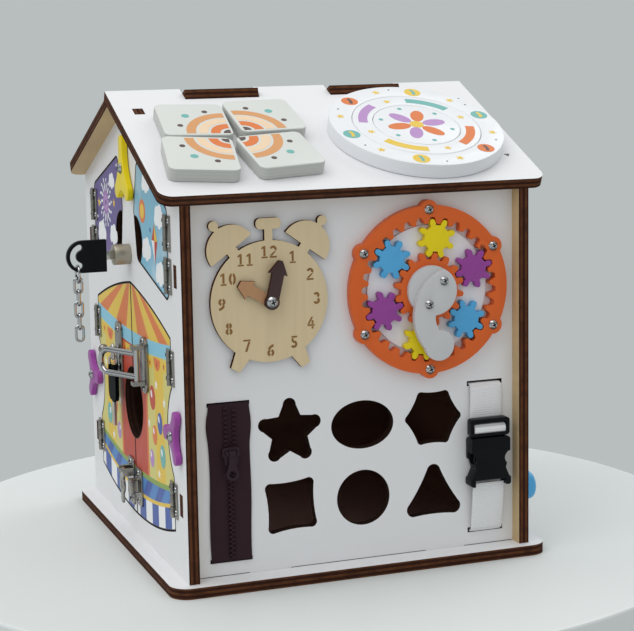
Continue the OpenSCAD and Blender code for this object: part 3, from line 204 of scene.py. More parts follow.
class PrintLooks(bpy.types.PropertyGroup):
    """Inks of the printed doors, tiles and dial."""

    night: tint("Night", "655494", "Ground of the night door")
    day: tint("Day", "86C3DD", "Ground of the day door")
    tent_a: tint("Tent orange", "DE7838", "Tent stripes")
    tent_b: tint("Tent yellow", "E7C344", "Tent stripes")
    band: tint("Band", "8CCBE2", "Band under the tent")
    red: tint("Red", "C1452F", "Red panels")
    deep_blue: tint("Deep blue", "3F5CA8", "Blue panels")
    light_blue: tint("Light blue", "4E86C6", "Stripes beside the deep blue")
    straw: tint("Straw", "D9CF7A", "Pale panels under the tent")
    green: tint("Green", "8AA64E", "Line above the blue stripes")
    cloud: tint("Cloud", "F2F3F5", "White shapes")
    tan: tint("Tan", "D79A63", "Warm shapes on the tiles")
    cream: tint("Cream", "EBCFAE", "Pale shapes on the tiles")
    dark: tint("Dark", "5A4A45", "Small dark dots")
    teal: tint("Teal", "6FB3AE", "Teal shapes on the dial")
    lilac: tint("Lilac", "B78CC4", "Lilac shapes on the dial")
    board: tint("Tile board", "D9DBD6", "Ground of the tiles")
    pointer: tint("Pointer", "2A2C30", "Mark on the roof beside the dial")
    dial: tint("Dial board", "EDEEF1", "Ground of the dial")


class StageLooks(bpy.types.PropertyGroup):
    """Table, backdrop and lamps."""

    table: tint("Table", "E3E7E6", "Top of the table")
    backdrop: tint("Backdrop", "B8BEBE", "Wall behind the table")
    key: watts("Key lamp", 24, "Power of the main lamp, above on the left")
    fill: watts("Fill lamp", 0.7, "Power of the lamp in front, on the right")
    side: watts("Side lamp", 8, "Power of the lamp behind, on the right")
    sky: FloatProperty(name="Sky", description="Strength of the even light", default=0.62, min=0)


def looks(group):
    """One of the scene's groups of settings."""
    return getattr(bpy.context.scene, "house_" + group)


class Value:
    """A shader socket that takes part in Python arithmetic."""

    def __init__(self, finish, socket):
        self.finish = finish
        self.socket = socket

    def _math(self, operation, first, second=0.0):
        return self.finish.add("ShaderNodeMath", {"operation": operation}, {0: first, 1: second})

    def __add__(self, other):
        return self._math("ADD", self, other)

    def __radd__(self, other):
        return self._math("ADD", other, self)

    def __sub__(self, other):
        return self._math("SUBTRACT", self, other)

    def __rsub__(self, other):
        return self._math("SUBTRACT", other, self)

    def __mul__(self, other):
        return self._math("MULTIPLY", self, other)

    def __rmul__(self, other):
        return self._math("MULTIPLY", other, self)

    def __truediv__(self, other):
        return self._math("DIVIDE", self, other)

    def __rtruediv__(self, other):
        return self._math("DIVIDE", other, self)

    def __mod__(self, other):
        return self._math("FLOORED_MODULO", self, other)

    def __gt__(self, other):
        return self._math("GREATER_THAN", self, other)

    def __lt__(self, other):
        return self._math("LESS_THAN", self, other)

    def __abs__(self):
        return self._math("ABSOLUTE", self)


class Finish:
    """A procedural material under construction."""

    def __init__(self, name):
        self.material = bpy.data.materials.new(name)
        self.material.use_nodes = True
        self.tree = self.material.node_tree
        self.shader = self.tree.nodes["Principled BSDF"]
        self.coordinates = self.tree.nodes.new("ShaderNodeTexCoord")

    def add(self, kind, settings=None, sockets=None, output=0):
        """A node of that kind, with its settings made first and then its sockets fed."""
        node = self.tree.nodes.new(kind)
        for key, value in (settings or {}).items():
            setattr(node, key, value)
        for key, value in (sockets or {}).items():
            self.feed(node.inputs[key], value)
        return Value(self, node.outputs[output])

    def feed(self, socket, value):
        """Links a value to a socket, or sets it there."""
        if isinstance(value, Value):
            self.tree.links.new(value.socket, socket)
        else:
            socket.default_value = value

    def split(self, name):
        """The three parts of an output of the texture coordinates."""
        source = Value(self, self.coordinates.outputs[name])
        first = self.add("ShaderNodeSeparateXYZ", None, {0: source})
        return [Value(self, out) for out in first.socket.node.outputs]

    def place(self):
        """The point on the object, in millimetres."""
        return [part * 1000 for part in self.split("Object")]

    def noise(self, scale, stretch=(1, 1, 1), detail=2.0):
        """Even noise; scale is in cycles per metre."""
        whole = Value(self, self.coordinates.outputs["Object"])
        spot = self.add("ShaderNodeMapping", None, {"Vector": whole, "Scale": stretch})
        return self.add("ShaderNodeTexNoise", None, {"Vector": spot, "Scale": scale, "Detail": detail})

    def step(self, value, low, high):
        """0 below low, 1 above high, and smooth between them."""
        limits = {0: value, 1: low, 2: high, 3: 0.0, 4: 1.0}
        return self.add("ShaderNodeMapRange", {"interpolation_type": "SMOOTHSTEP"}, limits)

    def mix(self, share, first, second):
        """A colour between two colours."""
        return self.add("ShaderNodeMix", {"data_type": "RGBA"}, {0: share, 6: first, 7: second}, 2)

    def bump(self, height, depth, strength=0.5):
        """A bumped normal; depth is in millimetres."""
        sockets = {"Strength": strength, "Distance": depth * MM, "Height": height}
        return self.add("ShaderNodeBump", None, sockets)

    def done(self, color, roughness, metallic=0.0, normal=None, coat=0.0, specular=0.5):
        """The material, with its shader fed."""
        self.shader.inputs["Specular IOR Level"].default_value = specular
        self.feed(self.shader.inputs["Base Color"], color)
        self.feed(self.shader.inputs["Roughness"], roughness)
        self.feed(self.shader.inputs["Metallic"], metallic)
        self.feed(self.shader.inputs["Coat Weight"], coat)
        if normal is not None:
            self.feed(self.shader.inputs["Normal"], normal)
        return self.material


def along(parts, axis):
    """The sum of three values weighted by an axis, leaving out the parts that the axis doesn't have."""
    terms = [p * a for p, a in zip(parts, axis) if abs(a) > 1e-6]
    total = terms[0]
    for term in terms[1:]:
        total = total + term
    return total


def between(value, low, high):
    """1 where a value lies between two others, and 0 elsewhere."""
    return (value > low) * (value < high)


# Half the breadth, foot and top of the sorter's holes in the front wall, in millimetres
SORTER_HALF, SORTER_FOOT, SORTER_TOP = 118, 30, 150

# Half the breadth, foot and top of the door openings in the gable, in millimetres
DOORS_HALF, DOORS_FOOT, DOORS_TOP = 118, 20, 310

# Half the width and half the depth of the hollow inside the house, in millimetres
HOLLOW_X, HOLLOW_Y = 127.2, 128.4


def ply_finish(name, axis, outer, inner, paint=None, shaded_inside=False):
    """Plywood across an axis: lacquer or print outside, bare wood inside, scorched layers at the edges;
    painted shade darkens the cut edges in the sorter holes and door openings, and, for the house's panels,
    the faces inside the house.
    """
    shell = looks("shell")
    dust = (0.62, 0.60, 0.58, 1.0)
    finish = Finish(name)
    spot = finish.place()
    across = along(finish.split("Normal"), axis)
    depth = along(spot, axis)
    edge = 1 - finish.step(abs(across), 0.55, 0.75)
    outside = across > 0
    stretch = tuple(0.12 if abs(a) < 0.5 and i != 2 else 1.0 for i, a in enumerate(axis))
    grain = finish.noise(60, stretch, 4)
    cloud = finish.noise(18, detail=3)
    face = outer if paint is None else paint(finish, spot)
    face = finish.mix(finish.step(cloud, 0.25, 0.8) * 0.05, face, dust)
    wood = finish.mix(finish.step(grain, 0.3, 0.75) * 0.55, inner, dim(inner, 0.72))
    layer = finish.step(abs((depth / (2 * shell.layer / MM)) % 1.0 - 0.5), 0.2, 0.3)
    burn = finish.noise(130, detail=3)
    side = finish.mix(layer, ink(shell.scorch), ink(shell.scorch_light))
    side = finish.mix(finish.step(burn, 0.35, 0.75) * 0.55, side, dim(shell.scorch, 0.5))
    x, y, z = spot
    facing = [abs(a) > 0.99 for a in axis]
    # Painted shade: the cut edges inside the sorter's holes and the gable's door openings are darkened
    # further
    sorter = (abs(x) < SORTER_HALF) * between(z, SORTER_FOOT, SORTER_TOP) * facing[1]
    doors = (abs(y) < DOORS_HALF) * between(z, DOORS_FOOT, DOORS_TOP) * facing[0]
    side = finish.mix((sorter + doors) * 0.75, side, dim(shell.scorch, 0.2))
    # Painted shade: faces inside the house are made darker than bare birch, the floor less so
    if shaded_inside:
        hollow = (abs(x) < HOLLOW_X) * (abs(y) < HOLLOW_Y) * (z > PLY - 0.1) * (1 - edge)
        streak = finish.step(grain, 0.3, 0.75) * 0.6
        inside_shade = finish.mix(streak, ink(shell.inside), dim(shell.inside, 0.6))
        face = finish.mix(hollow * facing[2], face, finish.mix(0.8, inside_shade, ink(shell.floor)))
        wood = finish.mix(hollow, wood, inside_shade)
    color = finish.mix(edge, finish.mix(outside, wood, face), side)
    sheen = 0.36 + finish.noise(90) * 0.12 + edge * 0.4 + (1 - outside) * 0.18
    height = finish.noise(900, detail=1) * 0.3 + layer * edge * 1.2 + grain * (1 - outside) * 0.8
    return finish.done(color, sheen, normal=finish.bump(height, 0.12, 0.35), specular=0.25)


def plastic_finish(name, color, roughness=0.3, mottle=0.06, specular=0.32, coat=0.06):
    """Moulded plastic with a faint cloud in its colour and gloss."""
    finish = Finish(name)
    cloud = finish.noise(45, detail=3)
    shade = finish.mix(cloud * mottle * 2, ink(color), dim(color, 0.7))
    normal = finish.bump(finish.noise(700, detail=2), 0.08, 0.25)
    sheen = roughness + finish.noise(160) * 0.14
    return finish.done(shade, sheen, normal=normal, coat=coat, specular=specular)


def metal_finish(name, color, roughness=0.2, painted_reflection=0.0):
    """Bright plated steel with fine wear, and painted dark reflections where it faces the floor or the far
    edge of a room.
    """
    finish = Finish(name)
    wear = finish.noise(60, detail=3)
    shade = finish.mix(finish.step(wear, 0.45, 0.8) * 0.25, ink(color), dim(color, 0.7))
    # Painted reflection: faces turned to the floor or to the far edge of a room are darkened by a given
    # share
    tilt = finish.split("Normal")[2]
    floor = finish.step(0 - tilt, 0.15, 0.55)
    horizon = finish.step(tilt, 0.12, 0.3) * (1 - finish.step(tilt, 0.42, 0.6))
    shade = finish.mix((floor + horizon) * painted_reflection, shade, dim(color, 0.1))
    return finish.done(shade, roughness + wear * 0.1, 1.0, finish.bump(finish.noise(220), 0.05, 0.12))


def brushed_finish(name, color):
    """Nickel with fine lines turned round the barrel."""
    finish = Finish(name)
    lines = finish.noise(900, (1, 0.02, 0.02), 3)
    shade = finish.mix(lines * 0.5, ink(color), dim(color, 0.72))
    return finish.done(shade, 0.34 + lines * 0.16, 1.0, finish.bump(lines, 0.04, 0.3))


def wood_finish(name, color, grain_axis, dark=0.7):
    """Bare or stained wood with its grain along one axis."""
    finish = Finish(name)
    stretch = [1.0, 1.0, 1.0]
    stretch[grain_axis] = 0.1
    grain = finish.noise(110, tuple(stretch), 5)
    cloud = finish.noise(25, detail=3)
    shade = finish.mix(finish.step(grain, 0.35, 0.7) * 0.4, ink(color), dim(color, dark))
    shade = finish.mix(cloud * 0.12, shade, dim(color, 1.25))
    return finish.done(shade, 0.52 + grain * 0.12, normal=finish.bump(grain, 0.1, 0.3))


def flat_ink(name, color):
    """Printed ink: a flat colour with the slight mottle of a print."""
    finish = Finish(name)
    cloud = finish.noise(140, detail=3)
    shade = finish.mix(cloud * 0.22, ink(color), ink([min(1, c * 1.18 + 0.02) for c in color]))
    return finish.done(shade, 0.42 + cloud * 0.1)


def inks_of(first, names):
    """Printed inks in some of the prints' colours."""
    prints = looks("prints")
    return [flat_ink(first + "_" + name, getattr(prints, name)) for name in names]


def dress(node, material):
    """Gives a CAD node a finish."""
    data = NODES[node].data
    data.materials.clear()
    data.materials.append(material)


def placed(mesh, name, materials=()):
    """A mesh as an object of the scene."""
    for material in materials:
        mesh.materials.append(material)
    piece = bpy.data.objects.new(name, mesh)
    bpy.context.scene.collection.objects.link(piece)
    return piece


def to_mesh(work, name):
    """A plain mesh from one under work, which ends there."""
    mesh = bpy.data.meshes.new(name)
    work.to_mesh(mesh)
    work.free()
    return mesh


def add_piece(mesh, name, materials, body):
    """A finished mesh as a piece that moves with a body."""
    piece = placed(mesh, name, materials)
    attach(piece, body)
    return piece


def baked(piece):
    """Turns a piece's modifiers into plain mesh."""
    graph = bpy.context.evaluated_depsgraph_get()
    mesh = bpy.data.meshes.new_from_object(piece.evaluated_get(graph))
    piece.modifiers.clear()
    piece.data = mesh
    return mesh


def smooth(mesh, angle=32):
    """Shades a mesh smooth up to an angle between faces."""
    mesh.shade_smooth()
    mesh.set_sharp_from_angle(angle=math.radians(angle))


def welded(node):
    """A CAD node's mesh, with its doubled points joined, to be worked on."""
    work = bmesh.new()
    work.from_mesh(NODES[node].data)
    bmesh.ops.remove_doubles(work, verts=work.verts, dist=WELD)
    return work


def merge_flat(work):
    """Joins the faces that lie in one plane."""
    bmesh.ops.dissolve_limit(work, angle_limit=FLAT, verts=work.verts, edges=work.edges)


def eased(node, body, slot, material, width, segments=2, limit=50):
    """A copy of a CAD node with its edges rounded, in the node's place."""
    work = welded(node)
    merge_flat(work)
    piece = placed(to_mesh(work, node + "_eased"), node + "_eased", [material])
    bevel = piece.modifiers.new("ease", "BEVEL")
    bevel.width = width
    bevel.segments = segments
    bevel.limit_method = "ANGLE"
    bevel.angle_limit = math.radians(limit)
    bevel.use_clamp_overlap = True
    smooth(baked(piece))
    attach(piece, body)
    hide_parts(node)
    return piece


def burnt_rim(node, body, material, width):
    """A thin dark line along the outline of a laser-cut door, on its outer face."""
    height = 0.08 * MM
    work = welded(node)
    face_x = min(v.co.x for v in work.verts)
    away = [f for f in work.faces if any(v.co.x > face_x + 1e-5 for v in f.verts)]
    bmesh.ops.delete(work, geom=away, context="FACES")
    merge_flat(work)
    inset = {"thickness": width, "use_boundary": True, "use_even_offset": True}
    strip = bmesh.ops.inset_region(work, faces=work.faces, **inset)
    kept = set(strip["faces"])
    bmesh.ops.delete(work, geom=[f for f in work.faces if f not in kept], context="FACES")
    grown = bmesh.ops.extrude_face_region(work, geom=list(work.faces))
    for part in grown["geom"]:
        if isinstance(part, bmesh.types.BMVert):
            part.co.x -= height
    bmesh.ops.triangulate(work, faces=work.faces)
    bmesh.ops.recalc_face_normals(work, faces=work.faces)
    return add_piece(to_mesh(work, node + "_rim"), node + "_rim", [material], body)


# Flat shapes, each a list of points


def ring_points(cx, cy, rx, ry=None, turn=0.0, count=36):
    """A circle, or an ellipse turned by an angle."""
    ry = rx if ry is None else ry
    spin = math.radians(turn)
    points = []
    for k in range(count):
        a = 2 * math.pi * k / count
        x, y = rx * math.cos(a), ry * math.sin(a)
        right = x * math.cos(spin) - y * math.sin(spin)
        up = x * math.sin(spin) + y * math.cos(spin)
        points.append((cx + right, cy + up))
    return points


def star_points(cx, cy, r, inner=0.45, points=5, turn=90.0):
    """A star with sharp points."""
    result = []
    for k in range(2 * points):
        a = math.radians(turn) + math.pi * k / points
        reach = r if k % 2 == 0 else r * inner
        result.append((cx + reach * math.cos(a), cy + reach * math.sin(a)))
    return result


def cloud_points(cx, cy, w):
    """A cloud: the outline of five round bumps, each (across, up, radius) in shares of its width."""
    bumps = [
        (0.27, -0.03, 0.2),
        (0.08, 0.11, 0.23),
        (-0.19, 0.07, 0.21),
        (-0.29, -0.09, 0.17),
        (0.02, -0.12, 0.2),
    ]
    count = 72
    result = []
    for k in range(count):
        a = 2 * math.pi * k / count
        c, s = math.cos(a), math.sin(a)
        reach = 0.0
        for bx, by, r in bumps:
            near = bx * c + by * s
            gap = r * r - (bx * bx + by * by - near * near)
            if gap > 0:
                reach = max(reach, near + math.sqrt(gap))
        result.append((cx + w * reach * c, cy + w * reach * s))
    return result


def arc_band(cx, cy, r_in, r_out, start, end, count=20):
    """A bent band between two radii and two angles."""
    result = []
    for r, steps in ((r_out, range(count + 1)), (r_in, range(count, -1, -1))):
        for k in steps:
            a = math.radians(start + (end - start) * k / count)
            result.append((cx + r * math.cos(a), cy + r * math.sin(a)))
    return result


class Plane:
    """A face of the house that flat shapes are laid on."""

    def __init__(self, origin, right, up):
        self.origin = Vector(origin)
        self.right = Vector(right)
        self.up = Vector(up)
        self.out = self.right.cross(self.up)

    def point(self, x, y, lift):
        """A point on the face, or lifted off it, in metres."""
        return (self.origin + self.right * x + self.up * y + self.out * lift) * MM


def gable_plane(y, z, lift=0.0):
    """The outer face of the gable with the doors."""
    return Plane((-GABLE_X - lift, y, z), (0, -1, 0), (0, 0, 1))


def front_plane(x, z, lift=0.0):
    """The outer face of the front wall."""
    return Plane((x, FRONT_Y - lift, z), (1, 0, 0), (0, 0, 1))


def roof_plane(x, up, lift=0.0):
    """The top of the front roof panel, at a distance up from the eave."""
    eave = Vector((x, EAVE_Y, EAVE_Z))
    return Plane(eave + ROOF_UP * up + ROOF_NORMAL * (PLY + lift), (1, 0, 0), ROOF_UP)


def printed(name, plane, shapes, inks, body, thickness=0.1):
    """Thin printed shapes on a face; each shape is (ink number, points, level)."""
    root, first, rise = -0.3, 0.02, 0.06
    work = bmesh.new()
    for number, points, level in shapes:
        top = first + level * rise + thickness
        low = [work.verts.new(plane.point(x, y, root)) for x, y in points]
        high = [work.verts.new(plane.point(x, y, top)) for x, y in points]
        area = sum(a[0] * b[1] - b[0] * a[1] for a, b in zip(points, points[1:] + points[:1]))
        if area < 0:
            low.reverse()
            high.reverse()
        faces = [work.faces.new(high), work.faces.new(list(reversed(low)))]
        count = len(low)
        for k in range(count):
            n = (k + 1) % count
            faces.append(work.faces.new((low[k], low[n], high[n], high[k])))
        for face in faces:
            face.material_index = number
    work.normal_update()
    bmesh.ops.triangulate(work, faces=[f for f in work.faces if len(f.verts) > 4])
    return add_piece(to_mesh(work, name), name, inks, body)


# Geometry Nodes


class Tree:
    """A geometry node tree with named inputs."""

    def __init__(self, name, inputs):
        self.group = bpy.data.node_groups.new(name, "GeometryNodeTree")
        face = self.group.interface
        face.new_socket("Geometry", in_out="INPUT", socket_type="NodeSocketGeometry")
        self.ids = {}
        for key, (kind, value) in inputs.items():
            socket = face.new_socket(key, in_out="INPUT", socket_type=kind)
            if value is not None:
                socket.default_value = value
            self.ids[key] = socket.identifier
        face.new_socket("Geometry", in_out="OUTPUT", socket_type="NodeSocketGeometry")
        self.source = self.group.nodes.new("NodeGroupInput")
        self.sink = self.group.nodes.new("NodeGroupOutput")

    def add(self, kind, settings=None, sockets=None):
        """A node of that kind, with its settings made first and then its sockets fed."""
        node = self.group.nodes.new(kind)
        for key, value in (settings or {}).items():
            setattr(node, key, value)
        for key, value in (sockets or {}).items():
            if isinstance(value, bpy.types.NodeSocket):
                self.group.links.new(value, node.inputs[key])
            else:
                node.inputs[key].default_value = value
        return node

    def given(self, key):
        """One of the tree's inputs."""
        return self.source.outputs[key]

    def end(self, socket):
        """Gives a socket out as the tree's result."""
        self.group.links.new(socket, self.sink.inputs[0])

    def grown(self, mesh, name, values, body, slot):
        """The tree's result on a mesh, as a plain piece."""
        piece = placed(mesh, name)
        modifier = piece.modifiers.new("grow", "NODES")
        modifier.node_group = self.group
        for key, value in values.items():
            modifier[self.ids[key]] = value
        baked(piece)
        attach(piece, body)
        return piece


def points_mesh(name, points):
    """A mesh of loose points, given in millimetres."""
    mesh = bpy.data.meshes.new(name)
    mesh.from_pydata([Vector(p) * MM for p in points], [], [])
    return mesh


def screw_tree(steel, dark):
    """Pan-head screws with a cross recess on the points of a mesh, turned to face one way; the recess is
    painted shade, dark bars on the dome.
    """
    tree = Tree(
        "screw_heads",
        {
            "Radius": ("NodeSocketFloat", 2.0 * MM),
            "Height": ("NodeSocketFloat", 0.9 * MM),
            "Turn": ("NodeSocketRotation", None),
        },
    )
    ball = tree.add("GeometryNodeMeshUVSphere", None, {"Segments": 20, "Rings": 10, "Radius": 1.0})
    radius, height = tree.given("Radius"), tree.given("Height")
    size = tree.add("ShaderNodeCombineXYZ", None, {0: radius, 1: radius, 2: height})
    head = tree.add("GeometryNodeTransform", None, {"Geometry": ball.outputs[0], "Scale": size.outputs[0]})
    head = tree.add("GeometryNodeSetShadeSmooth", None, {0: head.outputs[0]})
    join = tree.add("GeometryNodeJoinGeometry")
    tree.group.links.new(head.outputs[0], join.inputs[0])
    bar_size, bar_rise, bar_turn = (1.3, 0.34, 1.0), (0, 0, 0.54), 0.4
    for turn in (bar_turn, bar_turn + math.pi / 2):
        bar = tree.add("GeometryNodeMeshCube", None, {"Size": bar_size})
        move = {"Geometry": bar.outputs[0], "Rotation": (0, 0, turn), "Translation": bar_rise}
        bar = tree.add("GeometryNodeTransform", None, move)
        bar = tree.add("GeometryNodeTransform", None, {"Geometry": bar.outputs[0], "Scale": size.outputs[0]})
        bar = tree.add(
            "GeometryNodeStoreNamedAttribute",
            {"data_type": "BOOLEAN", "domain": "FACE"},
            {"Geometry": bar.outputs[0], "Name": "recess", "Value": True},
        )
        tree.group.links.new(bar.outputs[0], join.inputs[0])
    spread = tree.add(
        "GeometryNodeInstanceOnPoints",
        None,
        {"Points": tree.given("Geometry"), "Instance": join.outputs[0], "Rotation": tree.given("Turn")},
    )
    solid = tree.add("GeometryNodeRealizeInstances", None, {0: spread.outputs[0]})
    plated = tree.add("GeometryNodeSetMaterial", None, {"Geometry": solid.outputs[0], "Material": steel})
    recess = tree.add("GeometryNodeInputNamedAttribute", {"data_type": "BOOLEAN"}, {"Name": "recess"})
    done = tree.add(
        "GeometryNodeSetMaterial",
        None,
        {"Geometry": plated.outputs[0], "Selection": recess.outputs[0], "Material": dark},
    )
    tree.end(done.outputs[0])
    return tree


def tooth_tree(material):
    """A row of zip teeth: chamfered blocks along a line."""
    tree = Tree(
        "zip_teeth",
        {
            "Count": ("NodeSocketInt", 10),
            "Start": ("NodeSocketVector", None),
            "Step": ("NodeSocketVector", None),
            "Size": ("NodeSocketVector", None),
        },
    )
    line = tree.add(
        "GeometryNodeMeshLine",
        None,
        {"Count": tree.given("Count"), "Start Location": tree.given("Start"), "Offset": tree.given("Step")},
    )
    join = tree.add("GeometryNodeJoinGeometry")
    for share in ((1.0, 0.55, 1.0), (0.8, 1.0, 0.62)):
        block = tree.add("GeometryNodeMeshCube", None, {"Size": share})
        tree.group.links.new(block.outputs[0], join.inputs[0])
    hull = tree.add("GeometryNodeConvexHull", None, {0: join.outputs[0]})
    scaled = {"Geometry": hull.outputs[0], "Scale": tree.given("Size")}
    tooth = tree.add("GeometryNodeTransform", None, scaled)
    sockets = {"Points": line.outputs[0], "Instance": tooth.outputs[0]}
    spread = tree.add("GeometryNodeInstanceOnPoints", None, sockets)
    solid = tree.add("GeometryNodeRealizeInstances", None, {0: spread.outputs[0]})
    done = tree.add("GeometryNodeSetMaterial", None, {"Geometry": solid.outputs[0], "Material": material})
    tree.end(done.outputs[0])
    return tree


class HousePart(bpy.types.Operator):
    """Base of the operators that make the house's pieces."""

    bl_options = {"REGISTER", "UNDO"}

    def execute(self, context):
        """Makes the pieces."""
        self.make(context)
        return {"FINISHED"}


class HOUSE_OT_shell(HousePart):
    """Finishes the plywood panels"""

    bl_idname = "house.shell"
    bl_label = "Plywood shell"

    def make(self, context):
        shell = looks("shell")
        white, birch = ink(shell.white), ink(shell.birch)
        panels = {
            "base_plate": (0, 0, 1),
            "front_wall": (0, -1, 0),
            "back_wall": (0, 1, 0),
            "left_gable": (-1, 0, 0),
            "right_gable": (1, 0, 0),
            "roof_front_panel": tuple(ROOF_NORMAL),
            "roof_back_panel": (0, -ROOF_NORMAL.y, ROOF_NORMAL.z),
        }
        for node, axis in panels.items():
            # The house's panels get painted shade on their faces inside the house
            dress(node, ply_finish(node + "_lacquer", axis, white, birch, shaded_inside=True))
        # Painted contact shadow: thin dark strips where the front wall stands on the base
        dark = flat_ink("seam_dark", shell.scorch)
        # Stretches of the front wall's foot between its tabs
        spans = ((-126.5, -86), (-54, 54), (86, 126.5))
        foot, top = PLY + 0.02, PLY + 0.5
        foot_shadow_strips = [(0, [(a, foot), (b, foot), (b, top), (a, top)], 0) for a, b in spans]
        printed("front_seam", front_plane(0, 0), foot_shadow_strips, [dark], "house", 0.02)


class HOUSE_OT_clock(HousePart):
    """Finishes the clock and engraves its numerals"""

    bl_idname = "house.clock"
    bl_label = "Clock"

    def make(self, context):
        shell = looks("shell")
        out, numeral_r = (0, -1, 0), 35.8
        birch, hour, minute = ink(shell.clock_birch), ink(shell.hour_wood), ink(shell.minute_wood)
        dress("clock_face", ply_finish("clock_ply", out, birch, birch, clock_paint))
        dress("hour_hand", ply_finish("hour_ply", out, hour, hour))
        dress("minute_hand", ply_finish("minute_ply", out, minute, minute))
        burnt = wood_finish("numeral_burn", shell.numeral, 0, 0.6)
        face = middle("clock_face")
        plane = front_plane(face.x, CLOCK_PIVOT_Z, FRONT_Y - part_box("clock_face")[0].y / MM)
        height = shell.numeral_height / MM
        shapes = []
        for number in range(1, 13):
            a = math.radians(90 - 30 * number)
            shapes += self.numeral(str(number), numeral_r * math.cos(a), numeral_r * math.sin(a), height)
        printed("clock_numerals", plane, shapes, [burnt], "house", 0.06)

    def numeral(self, digits, x, y, height):
        """The strokes of one numeral round a place on the face."""
        gap = 0.16
        pitch = DIGIT_W + gap
        wide = pitch * len(digits) - gap
        shapes = []
        for k, digit in enumerate(digits):
            start = pitch * k - wide / 2
            for stroke in digit_strokes(digit):
                points = [(x + height * (u + start), y + height * (v - 0.5)) for u, v in stroke]
                shapes.append((0, points, 0))
        return shapes


# Width of a stencilled digit in shares of its height
DIGIT_W = 0.6


def digit_strokes(digit):
    """The strokes of a stencilled digit, 1 high, as lists of points."""

    def block(u0, v0, u1, v1):
        """An upright rectangle between two corners."""
        return [(u0, v0), (u1, v0), (u1, v1), (u0, v1)]

    def bow(u, v, rx, ry, start, end):
        """A part of an oval stroke round a point."""
        stroke = 0.2
        result = []
        for p, q in arc_band(0, 0, 1 - stroke / rx, 1, start, end, 10):
            reach = math.hypot(p, q)
            result.append((u + rx * p, v + (ry + rx * (reach - 1)) * q / reach))
        return result

    def oval(v, rx, ry):
        """A closed oval in the middle, cut above and below as stencils are."""
        return [bow(0.3, v, rx, ry, 104, 256), bow(0.3, v, rx, ry, -76, 76)]

    strokes = {
        "0": oval(0.5, 0.3, 0.5),
        "1": [
            block(0.22, 0.17, 0.4, 1),
            [(0.22, 0.98), (0.05, 0.86), (0.05, 0.72), (0.22, 0.8)],
            block(0.06, 0, 0.56, 0.13),
        ],
        "2": [
            bow(0.3, 0.7, 0.3, 0.3, -25, 165),
            [(0.37, 0.52), (0.56, 0.55), (0.22, 0.18), (0, 0.18)],
            block(0, 0, 0.6, 0.14),
        ],
        "3": [bow(0.28, 0.75, 0.27, 0.25, -60, 160), bow(0.28, 0.28, 0.3, 0.28, -160, 62)],
        "4": [
            [(0.34, 1), (0.5, 1), (0.17, 0.4), (0, 0.4)],
            block(0, 0.24, 0.62, 0.37),
            block(0.36, 0, 0.52, 0.2),
            block(0.36, 0.41, 0.52, 0.7),
        ],
        "5": [
            block(0.08, 0.86, 0.56, 1),
            block(0.08, 0.52, 0.24, 0.82),
            bow(0.27, 0.31, 0.31, 0.31, -150, 112),
        ],
        "6": [*oval(0.3, 0.3, 0.3), bow(0.6, 0.42, 0.58, 0.58, 96, 160)],
        "7": [block(0, 0.86, 0.6, 1), [(0.42, 0.82), (0.6, 0.82), (0.32, 0), (0.13, 0)]],
        "8": [*oval(0.75, 0.25, 0.25), *oval(0.27, 0.3, 0.27)],
    }
    if digit == "9":
        return [[(DIGIT_W - u, 1 - v) for u, v in stroke] for stroke in strokes["6"]]
    return strokes[digit]


def clock_paint(finish, _):
    """Birch veneer with its grain upright."""
    birch = looks("shell").clock_birch
    grain = finish.noise(150, (1, 1, 0.05), 5)
    cloud = finish.noise(12, detail=2)
    color = finish.mix(finish.step(grain, 0.3, 0.7) * 0.55, ink(birch), dim(birch, 0.86))
    return finish.mix(cloud * 0.25, color, dim(birch, 1.12))


class HOUSE_OT_gears(HousePart):
    """Eases and finishes the gear set and its crank"""

    bl_idname = "house.gears"
    bl_label = "Gear set"

    def make(self, context):
        plastic = looks("plastic")
        orange = plastic_finish("orange_plastic", plastic.orange, 0.34)
        grey = plastic_finish("grey_plastic", plastic.grey, 0.4)
        planets = ("top_yellow", "bottom_yellow", "left_blue", "right_blue", "left_purple", "right_purple")
        eased("ring_gear", "house", "orange_plastic", orange, plastic.easing)
        eased("sun_gear", "crank", "orange_plastic", orange, plastic.easing)
        eased("crank_disc", "crank", "grey_plastic", grey, plastic.easing)
        eased("crank_handle", "crank", "grey_plastic", grey, plastic.easing * 1.6, 3)
        for planet in planets:
            node, color = "planet_" + planet, planet.split("_")[1]
            gloss = plastic_finish(node + "_gloss", getattr(plastic, color), 0.3)
            eased(node, node, color + "_plastic", gloss, plastic.easing * 0.6)
        dress("planet_carrier", plastic_finish("carrier_white", plastic.carrier, 0.45))


